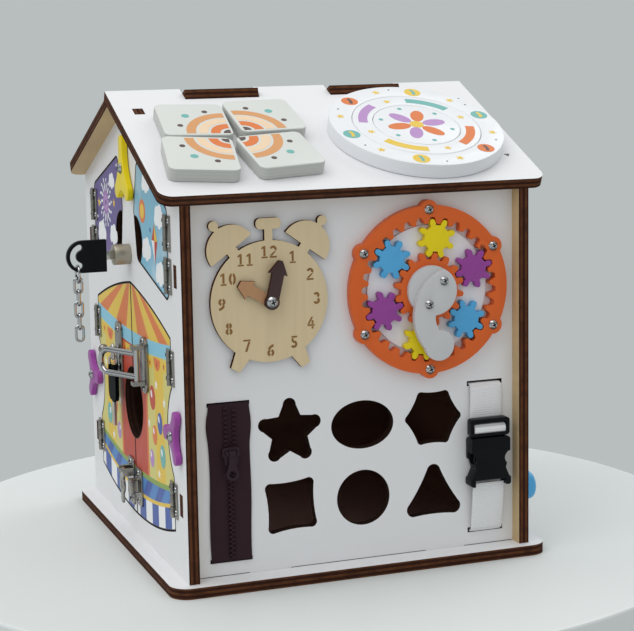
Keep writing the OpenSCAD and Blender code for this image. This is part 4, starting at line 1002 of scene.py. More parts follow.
class HOUSE_OT_metal(HousePart):
    """Finishes the metal fittings and adds the small screws"""

    bl_idname = "house.metal"
    bl_label = "Metal fittings"

    def make(self, context):
        metal = looks("metal")
        # The last number of each metal is its share of painted dark reflection
        steel = metal_finish("nickel", metal.nickel, 0.2, 0.6)
        chrome = metal_finish("chrome", metal.chrome, 0.08, 0.8)
        # Painted shade in the screws' cross recesses
        dark = metal_finish("recess", metal.recess, 0.5)
        for node in ("ring_screws", "crank_screws", "pivot_screws", "key_chain", "door_guard_bar"):
            dress(node, chrome)
            smooth(NODES[node].data, 40)
        plated = {
            "wall_hinge_leaves": "house",
            "night_hinge_leaves": "night_door",
            "day_hinge_leaves": "day_door",
            "left_lower_hinge_leaves": "left_lower_door",
            "right_lower_hinge_leaves": "right_lower_door",
            "left_door_catches": "left_lower_door",
            "right_door_catches": "right_lower_door",
            "clasp_lever": "clasp_lever",
        }
        for node, body in plated.items():
            eased(node, body, "steel", steel, 0.3 * MM)
        brushed = brushed_finish("brushed_nickel", metal.barrel)
        eased("lock_barrel", "house", "steel", brushed, 0.4 * MM)
        eased("lock_plug", "lock_plug", "steel", brushed, 0.3 * MM)
        tree = screw_tree(chrome, dark)
        front = Matrix.Rotation(math.pi / 2, 3, "X").to_euler()
        left = Matrix.Rotation(-math.pi / 2, 3, "Y").to_euler()
        self.small_screws(tree, left)
        self.recesses(tree, front, left)

    def small_screws(self, tree, left):
        """The screws of the hinges, and of the guard's and the clasp's plates."""
        hinge_y, aside, apart = 114.6, 5.8, 8.6
        radius, height = 2.4, 1.3
        upper, lower = (228, 259), (63, 161)
        face = -GABLE_X - 1
        # Each door, the side of its hinges and their heights
        hinges = (
            ("night_door", 1, upper),
            ("day_door", -1, upper),
            ("left_lower_door", 1, lower),
            ("right_lower_door", -1, lower),
        )
        sets = {"house": []}
        for body, side, heights in hinges:
            ends = [z + step for z in heights for step in (-apart, apart)]
            sets["house"] += [(face, side * (hinge_y + aside), z) for z in ends]
            sets[body] = [(face, side * (hinge_y - aside), z) for z in ends]
        # Each plate's door, its place across and up, how far its screws are from there, and their lift
        plates = (
            ("left_lower_door", 40, 150, 15, 1),
            ("right_lower_door", -40, 150, 18.2, 1),
            ("left_lower_door", 12, 48, 15, 0.5),
            ("right_lower_door", -12, 48, 11, 0.5),
        )
        for body, y, z, reach, lift in plates:
            sets[body] += [(face - lift, y, z - reach), (face - lift, y, z + reach)]
        for body, points in sets.items():
            self.heads(tree, body + "_small_screws", points, radius, height, left, body)

    def recesses(self, tree, front, left):
        """The recessed middles of the larger screws, whose heads stand on a seat before the wall."""
        gear, clock = middle("ring_gear"), middle("clock_face")
        head, height, ear_r = 1.45, 0.8, 59.8
        turns = [math.radians(90 + 60 * k) for k in range(6)]
        ears = [(gear.x + ear_r * math.cos(a), gear.z + ear_r * math.sin(a)) for a in turns]
        crank = [(gear.x + 7.8, gear.z + 7.4), (gear.x - 4.2, gear.z - 9.5)]
        # Name, body, places across and up, seat and radius
        screws = (
            ("ring_screw_recesses", "house", ears, 7.1, 2.6),
            ("crank_screw_recesses", "crank", crank, 16.1, 2.4),
            ("clock_screw_recess", "house", [(clock.x, CLOCK_PIVOT_Z)], 10.9, 2.8),
        )
        for name, body, places, seat, radius in screws:
            points = [(x, FRONT_Y - seat - head, z) for x, z in places]
            self.heads(tree, name, points, radius, height, front, body)
        buttons, seat, radius = [(0, 297), (126, 113), (-126, 113)], 5.3, 2.8
        points = [(-GABLE_X - seat - head, y, z) for y, z in buttons]
        self.heads(tree, "button_screw_recesses", points, radius, height, left, "house")

    def heads(self, tree, name, points, radius, height, turn, body):
        """Screw heads on some points, all facing one way."""
        values = {"Radius": radius * MM, "Height": height * MM, "Turn": turn}
        tree.grown(points_mesh(name, points), name, values, body, "steel")


class HOUSE_OT_zip(HousePart):
    """Makes the zip's tape and teeth, and finishes its slider"""

    bl_idname = "house.zip"
    bl_label = "Zip"

    def make(self, context):
        fabric = looks("fabric")
        tape = tape_finish("zip_weave", fabric.zip_brown)
        work = bmesh.new()
        for side in (-1, 1):
            self.half(work, side)
        bmesh.ops.recalc_face_normals(work, faces=work.faces)
        mesh = to_mesh(work, "zip_tape_cloth")
        smooth(mesh, 50)
        cloth = add_piece(mesh, "zip_tape_cloth", [tape], "house")
        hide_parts("zip_tape")
        gloss = plastic_finish("zip_teeth", fabric.zip_teeth, 0.35, specular=0.12, coat=0.0)
        tree = tooth_tree(gloss)
        for side, word in ((-1, "left"), (1, "right")):
            self.teeth(tree, side, word)
        enamel = plastic_finish("zip_enamel", fabric.zip_enamel, 0.3, specular=0.16, coat=0.0)
        eased("zip_slider", "zip_slider", "zip_metal", enamel, 0.3 * MM)
        eased("zip_pull", "zip_pull", "zip_metal", enamel, 0.3 * MM)

    def teeth(self, tree, side, word):
        """One row of teeth: near the middle below the slider, and apart from it above."""
        fabric = looks("fabric")
        x, low, _, slider = zip_place()
        pitch = fabric.tooth_pitch / MM
        closed = int((slider - low) / pitch)
        size, out, first = Vector((2.9, 2.1, 1.6)), 2.2, 2.75
        foot = low + first + (pitch / 2 if side < 0 else 0.0)
        rows = (
            ("closed", closed, 0.75, foot),
            ("open", fabric.teeth - closed, 3.2, foot + closed * pitch),
        )
        for state, count, aside, z in rows:
            values = {
                "Count": count,
                "Start": Vector((x + side * aside, FRONT_Y - out, z)) * MM,
                "Step": Vector((0, 0, fabric.tooth_pitch)),
                "Size": size * MM,
            }
            row = "zip_teeth_%s_%s" % (state, word)
            tree.grown(bpy.data.meshes.new(row), row, values, "house", "zip_fabric")

    def half(self, work, side):
        """One half of the tape: cloth that swells a little and turns into the slots at its ends."""
        rows, columns, fold_rows, fold_columns = 78, 12, 3, 4
        seam, plain_half, end_half, ramp = 0.05, 15.5, 15.3, 9
        bulge_z, bulge_high, bulge_out = 119, 10, 1.3
        x, low, high, _ = zip_place()
        grid = []
        for r in range(rows + 1):
            z = low + (high - low) * r / rows
            bulge = bulge_out * math.exp(-(((z - bulge_z) / bulge_high) ** 2))
            bulge += 0.35 * math.sin(z * 0.083 + 2 * side)
            free = min(1, (z - low) / ramp, (high - z) / ramp)
            reach = end_half + (plain_half + bulge - end_half) * free
            line = []
            for c in range(columns + 1):
                u = c / columns
                swell = 0.55 * math.sin(math.pi * u) * (0.6 + 0.4 * math.sin(z * 0.21 + side + 3 * u))
                line.append((x + side * (seam + (reach - seam) * u), swell, z))
            grid.append(line)
        front = self.layer(work, grid, 1.25)
        close_sheet(work, front, self.layer(work, grid, 0.45, share=0.3))
        thick, deep, slope = 0.8, -6.0, 6.3
        for z in (low - 0.1, high + 0.1):
            fold = []
            for k in range(fold_rows + 1):
                swell = deep + slope * k / fold_rows
                spots = [seam + (end_half - seam) * c / fold_columns for c in range(fold_columns + 1)]
                fold.append([(x + side * u, swell, z) for u in spots])
            top = self.layer(work, fold, 1.0, rise=thick / 2)
            close_sheet(work, top, self.layer(work, fold, 1.0, rise=-thick / 2))

    def layer(self, work, grid, out, share=1.0, rise=0.0):
        """One face of the cloth, at a distance before the wall, with a share of its swelling."""
        result = []
        for line in grid:
            spots = [Vector((x, FRONT_Y - out - swell * share, z + rise)) for x, swell, z in line]
            result.append([work.verts.new(spot * MM) for spot in spots])
        return result


def zip_place():
    """Middle, foot and top of the zip's tape and the height of its slider, in millimetres."""
    low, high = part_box("zip_tape")
    return middle("zip_tape").x, low.z / MM, high.z / MM, middle("zip_slider").z


def close_sheet(work, front, back):
    """Faces of two grids of points and of the rim between them."""
    rows, columns = len(front), len(front[0])
    for r in range(rows - 1):
        for c in range(columns - 1):
            work.faces.new((front[r][c], front[r][c + 1], front[r + 1][c + 1], front[r + 1][c]))
            work.faces.new((back[r][c], back[r + 1][c], back[r + 1][c + 1], back[r][c + 1]))
    for r in range(rows - 1):
        work.faces.new((front[r][0], front[r + 1][0], back[r + 1][0], back[r][0]))
        work.faces.new((front[r][-1], back[r][-1], back[r + 1][-1], front[r + 1][-1]))
    for c in range(columns - 1):
        work.faces.new((front[0][c], back[0][c], back[0][c + 1], front[0][c + 1]))
        work.faces.new((front[-1][c], front[-1][c + 1], back[-1][c + 1], back[-1][c]))


def tape_finish(name, color):
    """Fine herringbone tape."""
    finish = Finish(name)
    x, _, z = finish.place()
    rib = abs((z + abs(x % 4.0 - 2.0) * 0.8) % 0.9 - 0.45) / 0.45
    fuzz = finish.noise(900, detail=2)
    shade = finish.mix(finish.step(rib, 0.2, 0.9) * 0.5, ink(color), dim(color, 1.9))
    shade = finish.mix(fuzz * 0.35, shade, dim(color, 0.5))
    return finish.done(shade, 0.85, normal=finish.bump(rib + fuzz * 0.4, 0.25, 0.6), specular=0.12)


def webbing_finish(name, color, rib_size):
    """Flat woven webbing: cross ribs and fine lengthwise rows."""
    finish = Finish(name)
    x, _, z = finish.place()
    rib = abs((z / rib_size) % 1.0 - 0.5) * 2
    shift = ((z / rib_size) % 2.0 > 1.0) * 0.5
    row = abs((x / 2.0 + shift) % 1.0 - 0.5) * 2
    fuzz = finish.noise(1100, detail=2)
    height = rib * 0.8 + finish.step(row, 0.05, 0.4) * 0.3 + fuzz * 0.3
    shade = finish.mix(finish.step(height, 0.1, 0.8), dim(color, 0.8), ink(color))
    return finish.done(shade, 0.8, normal=finish.bump(height, 0.3, 0.7), specular=0.2)


class HOUSE_OT_strap(HousePart):
    """Makes the webbing and finishes the buckle"""

    bl_idname = "house.strap"
    bl_label = "Strap and buckle"

    def make(self, context):
        fabric, plastic = looks("fabric"), looks("plastic")
        weave = webbing_finish("webbing_weave", fabric.webbing, fabric.rib / MM)
        # Points of each path: distance out from the wall, and height
        upper_path = [(-6, 133.2), (-2, 133.4), (0.6, 133.2), (2.1, 131.8), (2.5, 129), (2.6, 122)]
        upper_path += [(2.5, 114), (2.4, 104), (2.4, 95.4)]
        lower_path = [(-6, 19.2), (-2, 19.2), (0.6, 19.6), (2.2, 21.4), (3.0, 25), (4.2, 33)]
        lower_path += [(5.4, 42), (6.2, 50), (6.4, 57.6)]
        loop_path = [(6, 95.8), (9.4, 96.6), (10.4, 99.6), (9.6, 102.6), (6, 103.4)]
        upper = self.ribbon("upper_webbing", upper_path, weave)
        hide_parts("upper_strap")
        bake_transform(upper)
        lower = self.ribbon("lower_webbing", lower_path, weave)
        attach(lower, "house")
        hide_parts("lower_strap")
        loop = self.ribbon("buckle_webbing", loop_path, weave)
        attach(loop, "buckle_plug")
        black = plastic_finish("black_plastic", plastic.black, 0.3, mottle=0.1, specular=0.14, coat=0.0)
        eased("buckle_socket", "house", "black_plastic", black, 0.9 * MM, 3)
        eased("buckle_plug", "buckle_plug", "black_plastic", black, 0.7 * MM, 3)

    def ribbon(self, name, path, material):
        """Webbing along a path of (distance out, height), with a rounded selvage."""
        middle_x, half, thick = middle("buckle_plug").x, 12.9, 0.75
        fine = smooth_path(path, 6)
        # Points across the webbing: shares of its half width and of its half thickness
        section = [(-1, 0.35), (-0.96, 0.9), (-0.5, 1), (0, 1), (0.5, 1), (0.96, 0.9), (1, 0.35)]
        work = bmesh.new()
        front, back = [], []
        for k, (out, z) in enumerate(fine):
            before = Vector(fine[max(k - 1, 0)])
            after = Vector(fine[min(k + 1, len(fine) - 1)])
            ahead = (after - before).normalized()
            normal = Vector((ahead.y, -ahead.x)) if ahead.y < 0 else Vector((-ahead.y, ahead.x))
            if abs(normal.x) > 0.2:
                normal.x = abs(normal.x)
            for rows, reach in ((front, thick), (back, -thick)):
                line = []
                for u, share in section:
                    off = normal * reach * share
                    spot = Vector((middle_x + half * u, FRONT_Y - out - off.x, z + off.y))
                    line.append(work.verts.new(spot * MM))
                rows.append(line)
        close_sheet(work, front, back)
        bmesh.ops.recalc_face_normals(work, faces=work.faces)
        mesh = to_mesh(work, name)
        smooth(mesh, 60)
        piece = placed(mesh, name, [material])
        return piece


def smooth_path(points, steps):
    """A smooth line through the points."""
    result = []
    count = len(points)
    for k in range(count - 1):
        p = [Vector(points[min(max(k + d, 0), count - 1)]) for d in (-1, 0, 1, 2)]
        bend = 2 * p[0] - 5 * p[1] + 4 * p[2] - p[3]
        twist = 3 * p[1] - p[0] - 3 * p[2] + p[3]
        for s in range(steps):
            t = s / steps
            result.append(tuple(p[1] + ((p[2] - p[0]) * t + bend * t**2 + twist * t**3) / 2))
    result.append(tuple(points[-1]))
    return result


def board_finish(name, axis, ground, layers, rim):
    """Printed board: a pale face and faintly layered sides, darker by a share that is partly their own tone
    and partly painted shade.
    """
    finish = Finish(name)
    spot = finish.place()
    across = along(finish.split("Normal"), axis)
    depth = along(spot, axis)
    edge = 1 - finish.step(abs(across), 0.5, 0.85)
    line = finish.step(abs((depth / 2.6) % 1.0 - 0.5), 0.4, 0.48)
    side = finish.mix(line * layers, dim(ground, rim), dim(ground, rim * 0.74))
    cloud = finish.noise(30, detail=3)
    face = finish.mix(cloud * 0.1, ink(ground), dim(ground, 1.12))
    sheen = 0.3 + finish.noise(120) * 0.12 + edge * 0.16
    normal = finish.bump(finish.noise(500) + line * edge, 0.1, 0.25)
    return finish.done(finish.mix(edge, face, side), sheen, normal=normal, coat=0.1)


class HOUSE_OT_tiles(HousePart):
    """Eases and prints the picture tiles"""

    bl_idname = "house.tiles"
    bl_label = "Picture tiles"

    def make(self, context):
        easing, thick = looks("plastic").board_easing, 10.2
        # The tiles' sides are darkened more than the dial's, partly as painted shade
        board = board_finish("tile_board", ROOF_NORMAL, looks("prints").board, 0.6, 0.74)
        inks = inks_of("tile", ("tan", "cream", "tent_a", "dark", "teal"))
        # Place across and up the roof, turn in degrees, and the side of the corner where the tiles meet
        places = {
            "tile_upper_left": (-99, 98.5, -4, (1, -1)),
            "tile_upper_right": (-43, 102, 2.7, (-1, -1)),
            "tile_lower_left": (-108.5, 44, -8, (1, 1)),
            "tile_lower_right": (-48, 45, 6.5, (-1, 1)),
        }
        for node, (x, up, turn, corner) in places.items():
            eased(node, node, "printed_tile", board, easing, 3)
            spin = Matrix.Rotation(math.radians(turn), 2)
            shapes = []
            for number, points, level in self.arcs(*corner):
                shapes.append((number, [tuple(spin @ Vector(point)) for point in points], level))
            printed(node + "_print", roof_plane(x, up, thick), shapes, inks, node)

    def arcs(self, cx, cy):
        """Quarter rings and a quarter disc round the corner where the tiles meet, with three dots."""
        half = 23.6
        x, y = cx * half, cy * half
        start = math.degrees(math.atan2(-cy, -cx)) - 45
        shapes = []
        for inner, outer, color in ((26, 33, 0), (17, 24, 1), (8, 15, 2)):
            shapes.append((color, arc_band(x, y, inner, outer, start, start + 90), 0))
        shapes.append((3, arc_band(x, y, 0.01, 5.5, start, start + 90, 8), 0))
        for angle, r, size, color in ((20, 38, 2.2, 3), (45, 41, 3.0, 4), (70, 38, 2.2, 3)):
            a = math.radians(start + angle)
            shapes.append((color, ring_points(x + r * math.cos(a), y + r * math.sin(a), size), 0))
        return shapes


class HOUSE_OT_dial(HousePart):
    """Eases and prints the turning dial"""

    bl_idname = "house.dial"
    bl_label = "Turning dial"

    def make(self, context):
        prints, thick = looks("prints"), 11.3
        outer_r, middle_r, petal_r, seed_r = 58.6, 41.6, 15, 27.5
        board = board_finish("dial_board", ROOF_NORMAL, prints.dial, 0.1, 0.97)
        for node in ("dial_outer_ring", "dial_middle_ring", "dial_inner_disc"):
            eased(node, node, "printed_dial", board, 0.7 * MM, 3)
        inks = inks_of("dial", ("teal", "tent_b", "lilac", "tent_a", "dark"))
        spin = Matrix.Rotation(math.radians(-28.7), 2)
        pointer = [tuple(spin @ Vector(end)) for end in ((69, 0), (73.2, -2.3), (73.2, 2.3))]
        black = [flat_ink("pointer_ink", prints.pointer)]
        roof = roof_plane(DIAL_X, DIAL_UP)
        printed("dial_pointer", roof, [(0, pointer, 0)], black, "house")
        plane = roof_plane(DIAL_X, DIAL_UP, thick)
        outer = []
        for k in range(6):
            a = 60 * k + 12
            outer += self.ball(outer_r, a, 6.6, (0, 1, 3)[k % 3], (1, 0, 4)[k % 3])
            outer.append((1, self.star(outer_r, a + 30, 3.6), 0))
            outer.append((4, self.dot(outer_r + 2.9, a + 18, 0.8), 0))
        printed("dial_outer_print", plane, outer, inks, "dial_outer_ring")
        ring = []
        for k, color in enumerate((0, 2, 1, 3)):
            a = 90 * k + 35
            ring.append((color, arc_band(0, 0, 38, 45, a, a + 46), 0))
            ring.append((1, self.star(middle_r, a + 68, 3.4), 0))
        printed("dial_middle_print", plane, ring, inks, "dial_middle_ring")
        disc = []
        for k in range(6):
            turn = 60 * k + 8
            a = math.radians(turn)
            petal = ring_points(petal_r * math.cos(a), petal_r * math.sin(a), 9.5, 5.2, turn)
            disc.append(((2, 3)[k % 2], petal, 0))
            disc.append((0, self.dot(seed_r, turn + 30, 1.8), 0))
        disc.append((1, ring_points(0, 0, 5.4), 1))
        printed("dial_inner_print", plane, disc, inks, "dial_inner_disc")

    def dot(self, r, angle, size):
        """A dot at a radius and an angle."""
        a = math.radians(angle)
        return ring_points(r * math.cos(a), r * math.sin(a), size, count=20)

    def star(self, r, angle, size):
        """A star at a radius and an angle, with a point outward."""
        a = math.radians(angle)
        return star_points(r * math.cos(a), r * math.sin(a), size, turn=angle)

    def ball(self, r, angle, size, color, stripe):
        """A ball with a bent stripe."""
        a = math.radians(angle)
        x, y = r * math.cos(a), r * math.sin(a)
        bent = arc_band(x - size * 1.1, y, size * 1.02, size * 1.4, -32, 32, 10)
        return [(color, ring_points(x, y, size), 0), (stripe, bent, 1)]


class HOUSE_OT_doors(HousePart):
    """Prints the four doors"""

    bl_idname = "house.doors"
    bl_label = "Printed doors"

    def make(self, context):
        prints, birch = looks("prints"), ink(looks("shell").birch)
        out = (-1, 0, 0)
        fair = ply_finish("fair_print", out, ink(prints.tent_b), birch, fair_paint)
        night = ply_finish("night_print", out, ink(prints.night), birch, night_paint)
        day = ply_finish("day_print", out, ink(prints.day), birch, day_paint)
        burnt = flat_ink("door_burn", dim(looks("shell").scorch, 0.4))
        # Each door's print, and the width of the burnt line round it in millimetres
        doors = {
            "night_door": (night, "night_print", 0.8),
            "day_door": (day, "day_print", 0.8),
            "left_lower_door": (fair, "fair_print", 0.6),
            "right_lower_door": (fair, "fair_print", 0.6),
        }
        for door, (finish, slot, width) in doors.items():
            dress(door, finish)
            burnt_rim(door, door, burnt, width * MM)
        inks = inks_of("door", ("cloud", "lilac", "tent_a", "tent_b", "teal", "red", "deep_blue"))
        gable = gable_plane(0, 0)
        printed("night_door_print", gable, self.night(), inks, "night_door")
        printed("day_door_print", gable, self.day(), inks, "day_door")
        for side, body in ((-1, "left_lower_door"), (1, "right_lower_door")):
            printed(body + "_print", gable, self.fair(side), inks, body)

    def night(self):
        """Clouds, stars and fireworks of the night door."""
        middle_x, middle_z, rays = -74, 264, 14
        shapes = [
            (0, cloud_points(-90, 238, 30), 0),
            (0, cloud_points(-50, 240, 26), 0),
            (0, cloud_points(-52, 283, 20), 0),
            (3, star_points(-98, 262, 4.5), 0),
            (3, star_points(-46, 266, 3.8), 0),
            (0, ring_points(-104, 250, 1.4), 0),
            (0, ring_points(-34, 297, 1.4), 0),
        ]
        for k in range(rays):
            for reach, size, color in ((6.5, 4.2, 1), (13, 3.6, 0), (18.5, 1.8, 0)):
                a = 2 * math.pi * k / rays + reach
                place = (middle_x + reach * math.cos(a), middle_z + reach * math.sin(a))
                shapes.append((color, ring_points(*place, size, 1.15, math.degrees(a), 14), 0))
        return shapes

    def day(self):
        """Clouds, sun and kite of the day door."""
        top, right, foot, left = (78, 262), (86, 249), (78, 232), (70, 249)
        cross = (78, 249)
        return [
            (0, cloud_points(92, 268, 28), 0),
            (0, cloud_points(56, 290, 24), 0),
            (0, cloud_points(54, 240, 28), 0),
            (0, cloud_points(92, 226, 28), 0),
            (2, ring_points(44, 268, 9), 0),
            (3, ring_points(44, 268, 5.6), 1),
            (5, [top, right, foot, left], 0),
            (3, [top, right, cross], 1),
            (0, [cross, foot, left], 1),
            (6, ring_points(66, 256, 1.8), 0),
        ]

    def fair(self, side):
        """Scallops, balloons and stars of one lower door."""
        hem, sag = 157.5, 7
        balloons = ((58, 128, 8, 5), (78, 112, 7, 6), (62, 100, 6.5, 2), (84, 88, 7.5, 4), (52, 80, 6, 1))
        shapes = []
        for k in range(5):
            x = side * (14 + 20 * k)
            top = hem + sag * (x / DOOR_W) ** 2
            lobe = arc_band(x, top, 0.01, 9.2, 180, 360, 14)
            shapes.append(((3, 2)[k % 2], lobe, 0))
            shapes.append((5, star_points(x, top - 4.6, 2.8), 1))
        for x, z, r, color in balloons:
            shapes.append((color, ring_points(side * x, z, r, r * 1.18), 0))
            shine = ring_points(side * (x - 2.4), z + 2.6, r * 0.26, r * 0.4, 25 * side, 16)
            shapes.append((0, shine, 1))
        for x, z in ((70, 140), (92, 130), (46, 106), (72, 72)):
            shapes.append((0, star_points(side * x, z, 4.0), 0))
        return shapes


def night_paint(finish, spot):
    """Night sky: purple that pales towards the foot."""
    prints = looks("prints")
    z = spot[2]
    haze = finish.noise(30, detail=3)
    color = finish.mix(finish.step(z + haze * 30, 190, 260), ink(prints.lilac), ink(prints.night))
    return finish.mix(finish.step(haze, 0.2, 0.9) * 0.4, color, dim(prints.night, 0.6))


def day_paint(finish, spot):
    """Day sky: light blue that pales towards the foot."""
    prints = looks("prints")
    z = spot[2]
    haze = finish.noise(35, detail=3)
    color = finish.mix(finish.step(z + haze * 40, 215, 330), ink(prints.day), dim(prints.day, 0.8))
    return finish.mix(finish.step(haze, 0.45, 0.8) * 0.4, color, ink(prints.cloud))


def fair_paint(finish, spot):
    """A striped tent roof, a band, panels, and a blue and white foot."""
    prints = looks("prints")
    tent_top, tent_foot, sag, band = 216, 170, 7, 11
    red_half, trim_half, wave_z, foot_z, gap_half = 38, 43, 62, 44, 1.3
    _, y, z = spot
    side = abs(y)
    curve = (y / DOOR_W) * (y / DOOR_W)
    low = tent_foot + curve * sag
    fan = side / (tent_top - z)
    stripe = finish.step(abs((fan * 1.3) % 2.0 - 1.0), 0.47, 0.53)
    tent = finish.mix(stripe, ink(prints.tent_a), ink(prints.tent_b))
    panel = finish.step(abs((side / 26) % 2.0 - 1.0), 0.48, 0.52)
    body = finish.mix(panel, ink(prints.tent_b), ink(prints.straw))
    body = finish.mix(side < red_half, body, ink(prints.red))
    body = finish.mix(between(side, red_half, trim_half), body, ink(prints.tent_a))
    wave = wave_z + curve * 10
    slant = finish.step(abs(((y + z) / 16) % 2.0 - 1.0), 0.46, 0.54)
    swing = finish.mix(slant, ink(prints.deep_blue), ink(prints.light_blue))
    body = finish.mix(z < wave, body, swing)
    body = finish.mix(between(z, wave - 4, wave), body, ink(prints.green))
    foot = foot_z + curve * 16
    check = finish.step(abs((y / 19) % 2.0 - 1.0), 0.49, 0.51)
    block = finish.mix(check, ink(prints.deep_blue), ink(prints.cloud))
    body = finish.mix(z < foot, body, block)
    body = finish.mix(between(z, foot - 3, foot), body, ink(prints.tent_b))
    color = finish.mix(z > low - band, body, ink(prints.band))
    color = finish.mix(z > low, color, tent)
    return finish.mix(side < gap_half, color, ink(looks("shell").scorch))


class HOUSE_OT_handles(HousePart):
    """Eases and finishes the turn buttons, keys and knob"""

    bl_idname = "house.handles"
    bl_label = "Turn buttons, keys and knob"

    def make(self, context):
        plastic = looks("plastic")
        collar = 18.3
        yellow = plastic_finish("button_yellow", plastic.yellow, 0.28)
        purple = plastic_finish("button_purple", plastic.purple, 0.28)
        buttons = {
            "top_turn_button": (yellow, "yellow_plastic"),
            "left_turn_button": (purple, "purple_plastic"),
            "right_turn_button": (purple, "purple_plastic"),
        }
        for node, (finish, slot) in buttons.items():
            eased(node, node, slot, finish, 1.4 * MM, 3)
        dress("side_knob", plastic_finish("knob_blue", plastic.blue, 0.25))
        smooth(NODES["side_knob"].data, 40)
        moulded = key_finish("key_black", -(GABLE_X + collar), 0.16)
        eased("lock_key", "lock_key", "black_plastic", moulded, 0.35 * MM)
        dress("spare_key", key_finish("spare_black", None, 0.02))


def key_finish(name, start, specular):
    """Black moulded head and bright steel blade: the head lies beyond a start, or hangs at a height."""
    hung_foot, hung_top = 106.3, 137.5
    finish = Finish(name)
    x, _, z = finish.place()
    head = between(z, hung_foot, hung_top) if start is None else x < start
    cloud = finish.noise(200, detail=3)
    color = finish.mix(head, ink(looks("metal").blade), ink(looks("plastic").black))
    sheen = 0.24 + head * 0.14 + cloud * 0.1
    return finish.done(color, sheen, 1 - head, finish.bump(finish.noise(900), 0.1, 0.25), specular=specular)


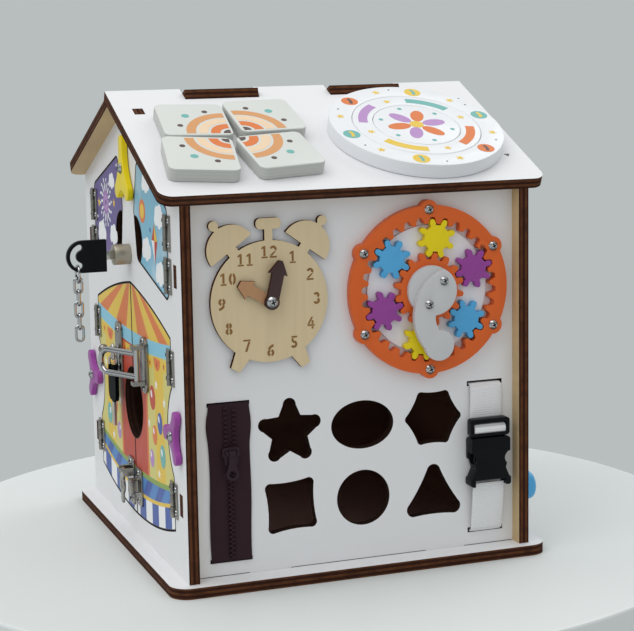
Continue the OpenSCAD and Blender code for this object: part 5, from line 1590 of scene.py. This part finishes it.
class HOUSE_OT_stage(HousePart):
    """Sets the table, backdrop, lamps and camera"""

    bl_idname = "house.stage"
    bl_label = "Stage"

    def make(self, context):
        stage = looks("stage")
        scene = context.scene
        scene.view_settings.view_transform = "Standard"
        self.table(stage)
        self.sky(scene, stage)
        # Name, place and size in metres, and power
        lamps = (
            ("key_lamp", (-0.95, -0.25, 1.85), 2.3, stage.key),
            ("fill_lamp", (0.9, -1.6, 1.3), 1.4, stage.fill),
            ("side_lamp", (1.3, 0.5, 1.5), 1.2, stage.side),
        )
        for lamp in lamps:
            self.lamp(*lamp)
        self.camera(scene)

    def table(self, stage):
        """A round white table top with a soft rim, just under the house."""
        middle, radius, thick, soft = Vector((0.0105, -0.001)), 0.32, 0.03, 0.002
        count, gap = 160, 0.0002
        bend = soft * 0.3
        profile = [(radius - soft, 0.0), (radius - bend, -bend), (radius, -soft), (radius, -thick)]
        work = bmesh.new()
        rings = []
        for r, z in profile:
            circle = ring_points(middle.x, middle.y, r, count=count)
            rings.append([work.verts.new((x, y, z - gap)) for x, y in circle])
        work.faces.new(rings[0])
        work.faces.new(list(reversed(rings[-1])))
        for high, low in zip(rings, rings[1:]):
            for k in range(count):
                n = (k + 1) % count
                work.faces.new((low[k], low[n], high[n], high[k]))
        white = Finish("table_white").done(ink(stage.table), 0.5)
        placed(to_mesh(work, "table_top"), "table_top", [white])

    def sky(self, scene, stage):
        """Even light all round, and a plain backdrop where the camera or a mirror looks at it."""
        even = (0.97, 0.975, 0.98, 1)
        world = bpy.data.worlds.new("studio")
        scene.world = world
        world.use_nodes = True
        nodes, links = world.node_tree.nodes, world.node_tree.links
        plain = nodes["Background"]
        plain.inputs["Color"].default_value = even
        plain.inputs["Strength"].default_value = stage.sky
        seen = nodes.new("ShaderNodeBackground")
        seen.inputs["Color"].default_value = ink(stage.backdrop)
        path = nodes.new("ShaderNodeLightPath")
        share = None
        for ray in ("Is Camera Ray", "Is Glossy Ray", "Is Transmission Ray"):
            total = nodes.new("ShaderNodeMath")
            total.operation = "MAXIMUM"
            links.new(path.outputs[ray], total.inputs[0])
            if share is not None:
                links.new(share, total.inputs[1])
            share = total.outputs[0]
        mix = nodes.new("ShaderNodeMixShader")
        links.new(share, mix.inputs[0])
        links.new(plain.outputs[0], mix.inputs[1])
        links.new(seen.outputs[0], mix.inputs[2])
        links.new(mix.outputs[0], nodes["World Output"].inputs["Surface"])

    def lamp(self, name, place, size, power):
        """A square lamp that looks at the middle of the house."""
        target = Vector((0, 0, 0.18))
        light = bpy.data.lights.new(name, "AREA")
        light.size = size
        light.energy = power
        lamp = bpy.data.objects.new(name, light)
        lamp.location = place
        aim = target - Vector(place)
        lamp.rotation_euler = aim.to_track_quat("-Z", "Y").to_euler()
        bpy.context.scene.collection.objects.link(lamp)

    def camera(self, scene):
        """The photograph's view, from the left of the front and a little above."""
        photo_w, photo_h, focal, centre_x, centre_y = 634, 631, 1799.0, 337.57, 277.78  # pixels
        aim, distance, sensor, far = Vector((0.03685, 0, 0.20058)), 1.4583, 36, 50
        turn, rise, roll = math.radians(-20.4), math.radians(8.2), math.radians(-0.888)
        back = Vector((math.sin(turn) * math.cos(rise), -math.cos(turn) * math.cos(rise), math.sin(rise)))
        right = Vector((0, 0, 1)).cross(back).normalized()
        up = back.cross(right)
        side = right * math.cos(roll) + up * math.sin(roll)
        top = up * math.cos(roll) - right * math.sin(roll)
        view = Matrix((side, top, back)).transposed().to_4x4()
        view.translation = aim + back * distance
        lens = bpy.data.cameras.new("photo_view")
        lens.sensor_width = sensor
        lens.lens = sensor * focal / photo_w
        lens.shift_x = -(centre_x - photo_w / 2) / photo_w
        lens.shift_y = -(photo_h / 2 - centre_y) / photo_w
        lens.clip_end = far
        camera = bpy.data.objects.new("photo_view", lens)
        camera.matrix_world = view
        scene.collection.objects.link(camera)
        scene.camera = camera


class HOUSE_PT_looks(bpy.types.Panel):
    """Settings and pieces of the activity house"""

    bl_idname = "HOUSE_PT_looks"
    bl_label = "Activity house"
    bl_space_type = "VIEW_3D"
    bl_region_type = "UI"
    bl_category = "Activity house"

    def draw(self, context):
        """Shows every setting, and a button for each group of pieces."""
        for name, kind in GROUPS.items():
            box = self.layout.box()
            box.label(text=name.title())
            for key in kind.__annotations__:
                box.prop(looks(name), key)
        for part in PARTS:
            self.layout.operator(part.bl_idname)


GROUPS = {
    "shell": ShellLooks,
    "plastic": PlasticLooks,
    "metal": MetalLooks,
    "fabric": FabricLooks,
    "prints": PrintLooks,
    "stage": StageLooks,
}
PARTS = (
    HOUSE_OT_stage,
    HOUSE_OT_shell,
    HOUSE_OT_clock,
    HOUSE_OT_gears,
    HOUSE_OT_zip,
    HOUSE_OT_strap,
    HOUSE_OT_tiles,
    HOUSE_OT_dial,
    HOUSE_OT_doors,
    HOUSE_OT_handles,
    HOUSE_OT_metal,
)


def register():
    """Adds the settings, operators and panel."""
    for kind in (*GROUPS.values(), *PARTS, HOUSE_PT_looks):
        bpy.utils.register_class(kind)
    for name, kind in GROUPS.items():
        setattr(bpy.types.Scene, "house_" + name, PointerProperty(type=kind))


def unregister():
    """Takes them away again."""
    for name in GROUPS:
        delattr(bpy.types.Scene, "house_" + name)
    for kind in reversed((*GROUPS.values(), *PARTS, HOUSE_PT_looks)):
        bpy.utils.unregister_class(kind)


def main():
    """Makes every piece."""
    register()
    for part in PARTS:
        space, name = part.bl_idname.split(".")
        getattr(getattr(bpy.ops, space), name)()


if __name__ == "__main__":
    main()
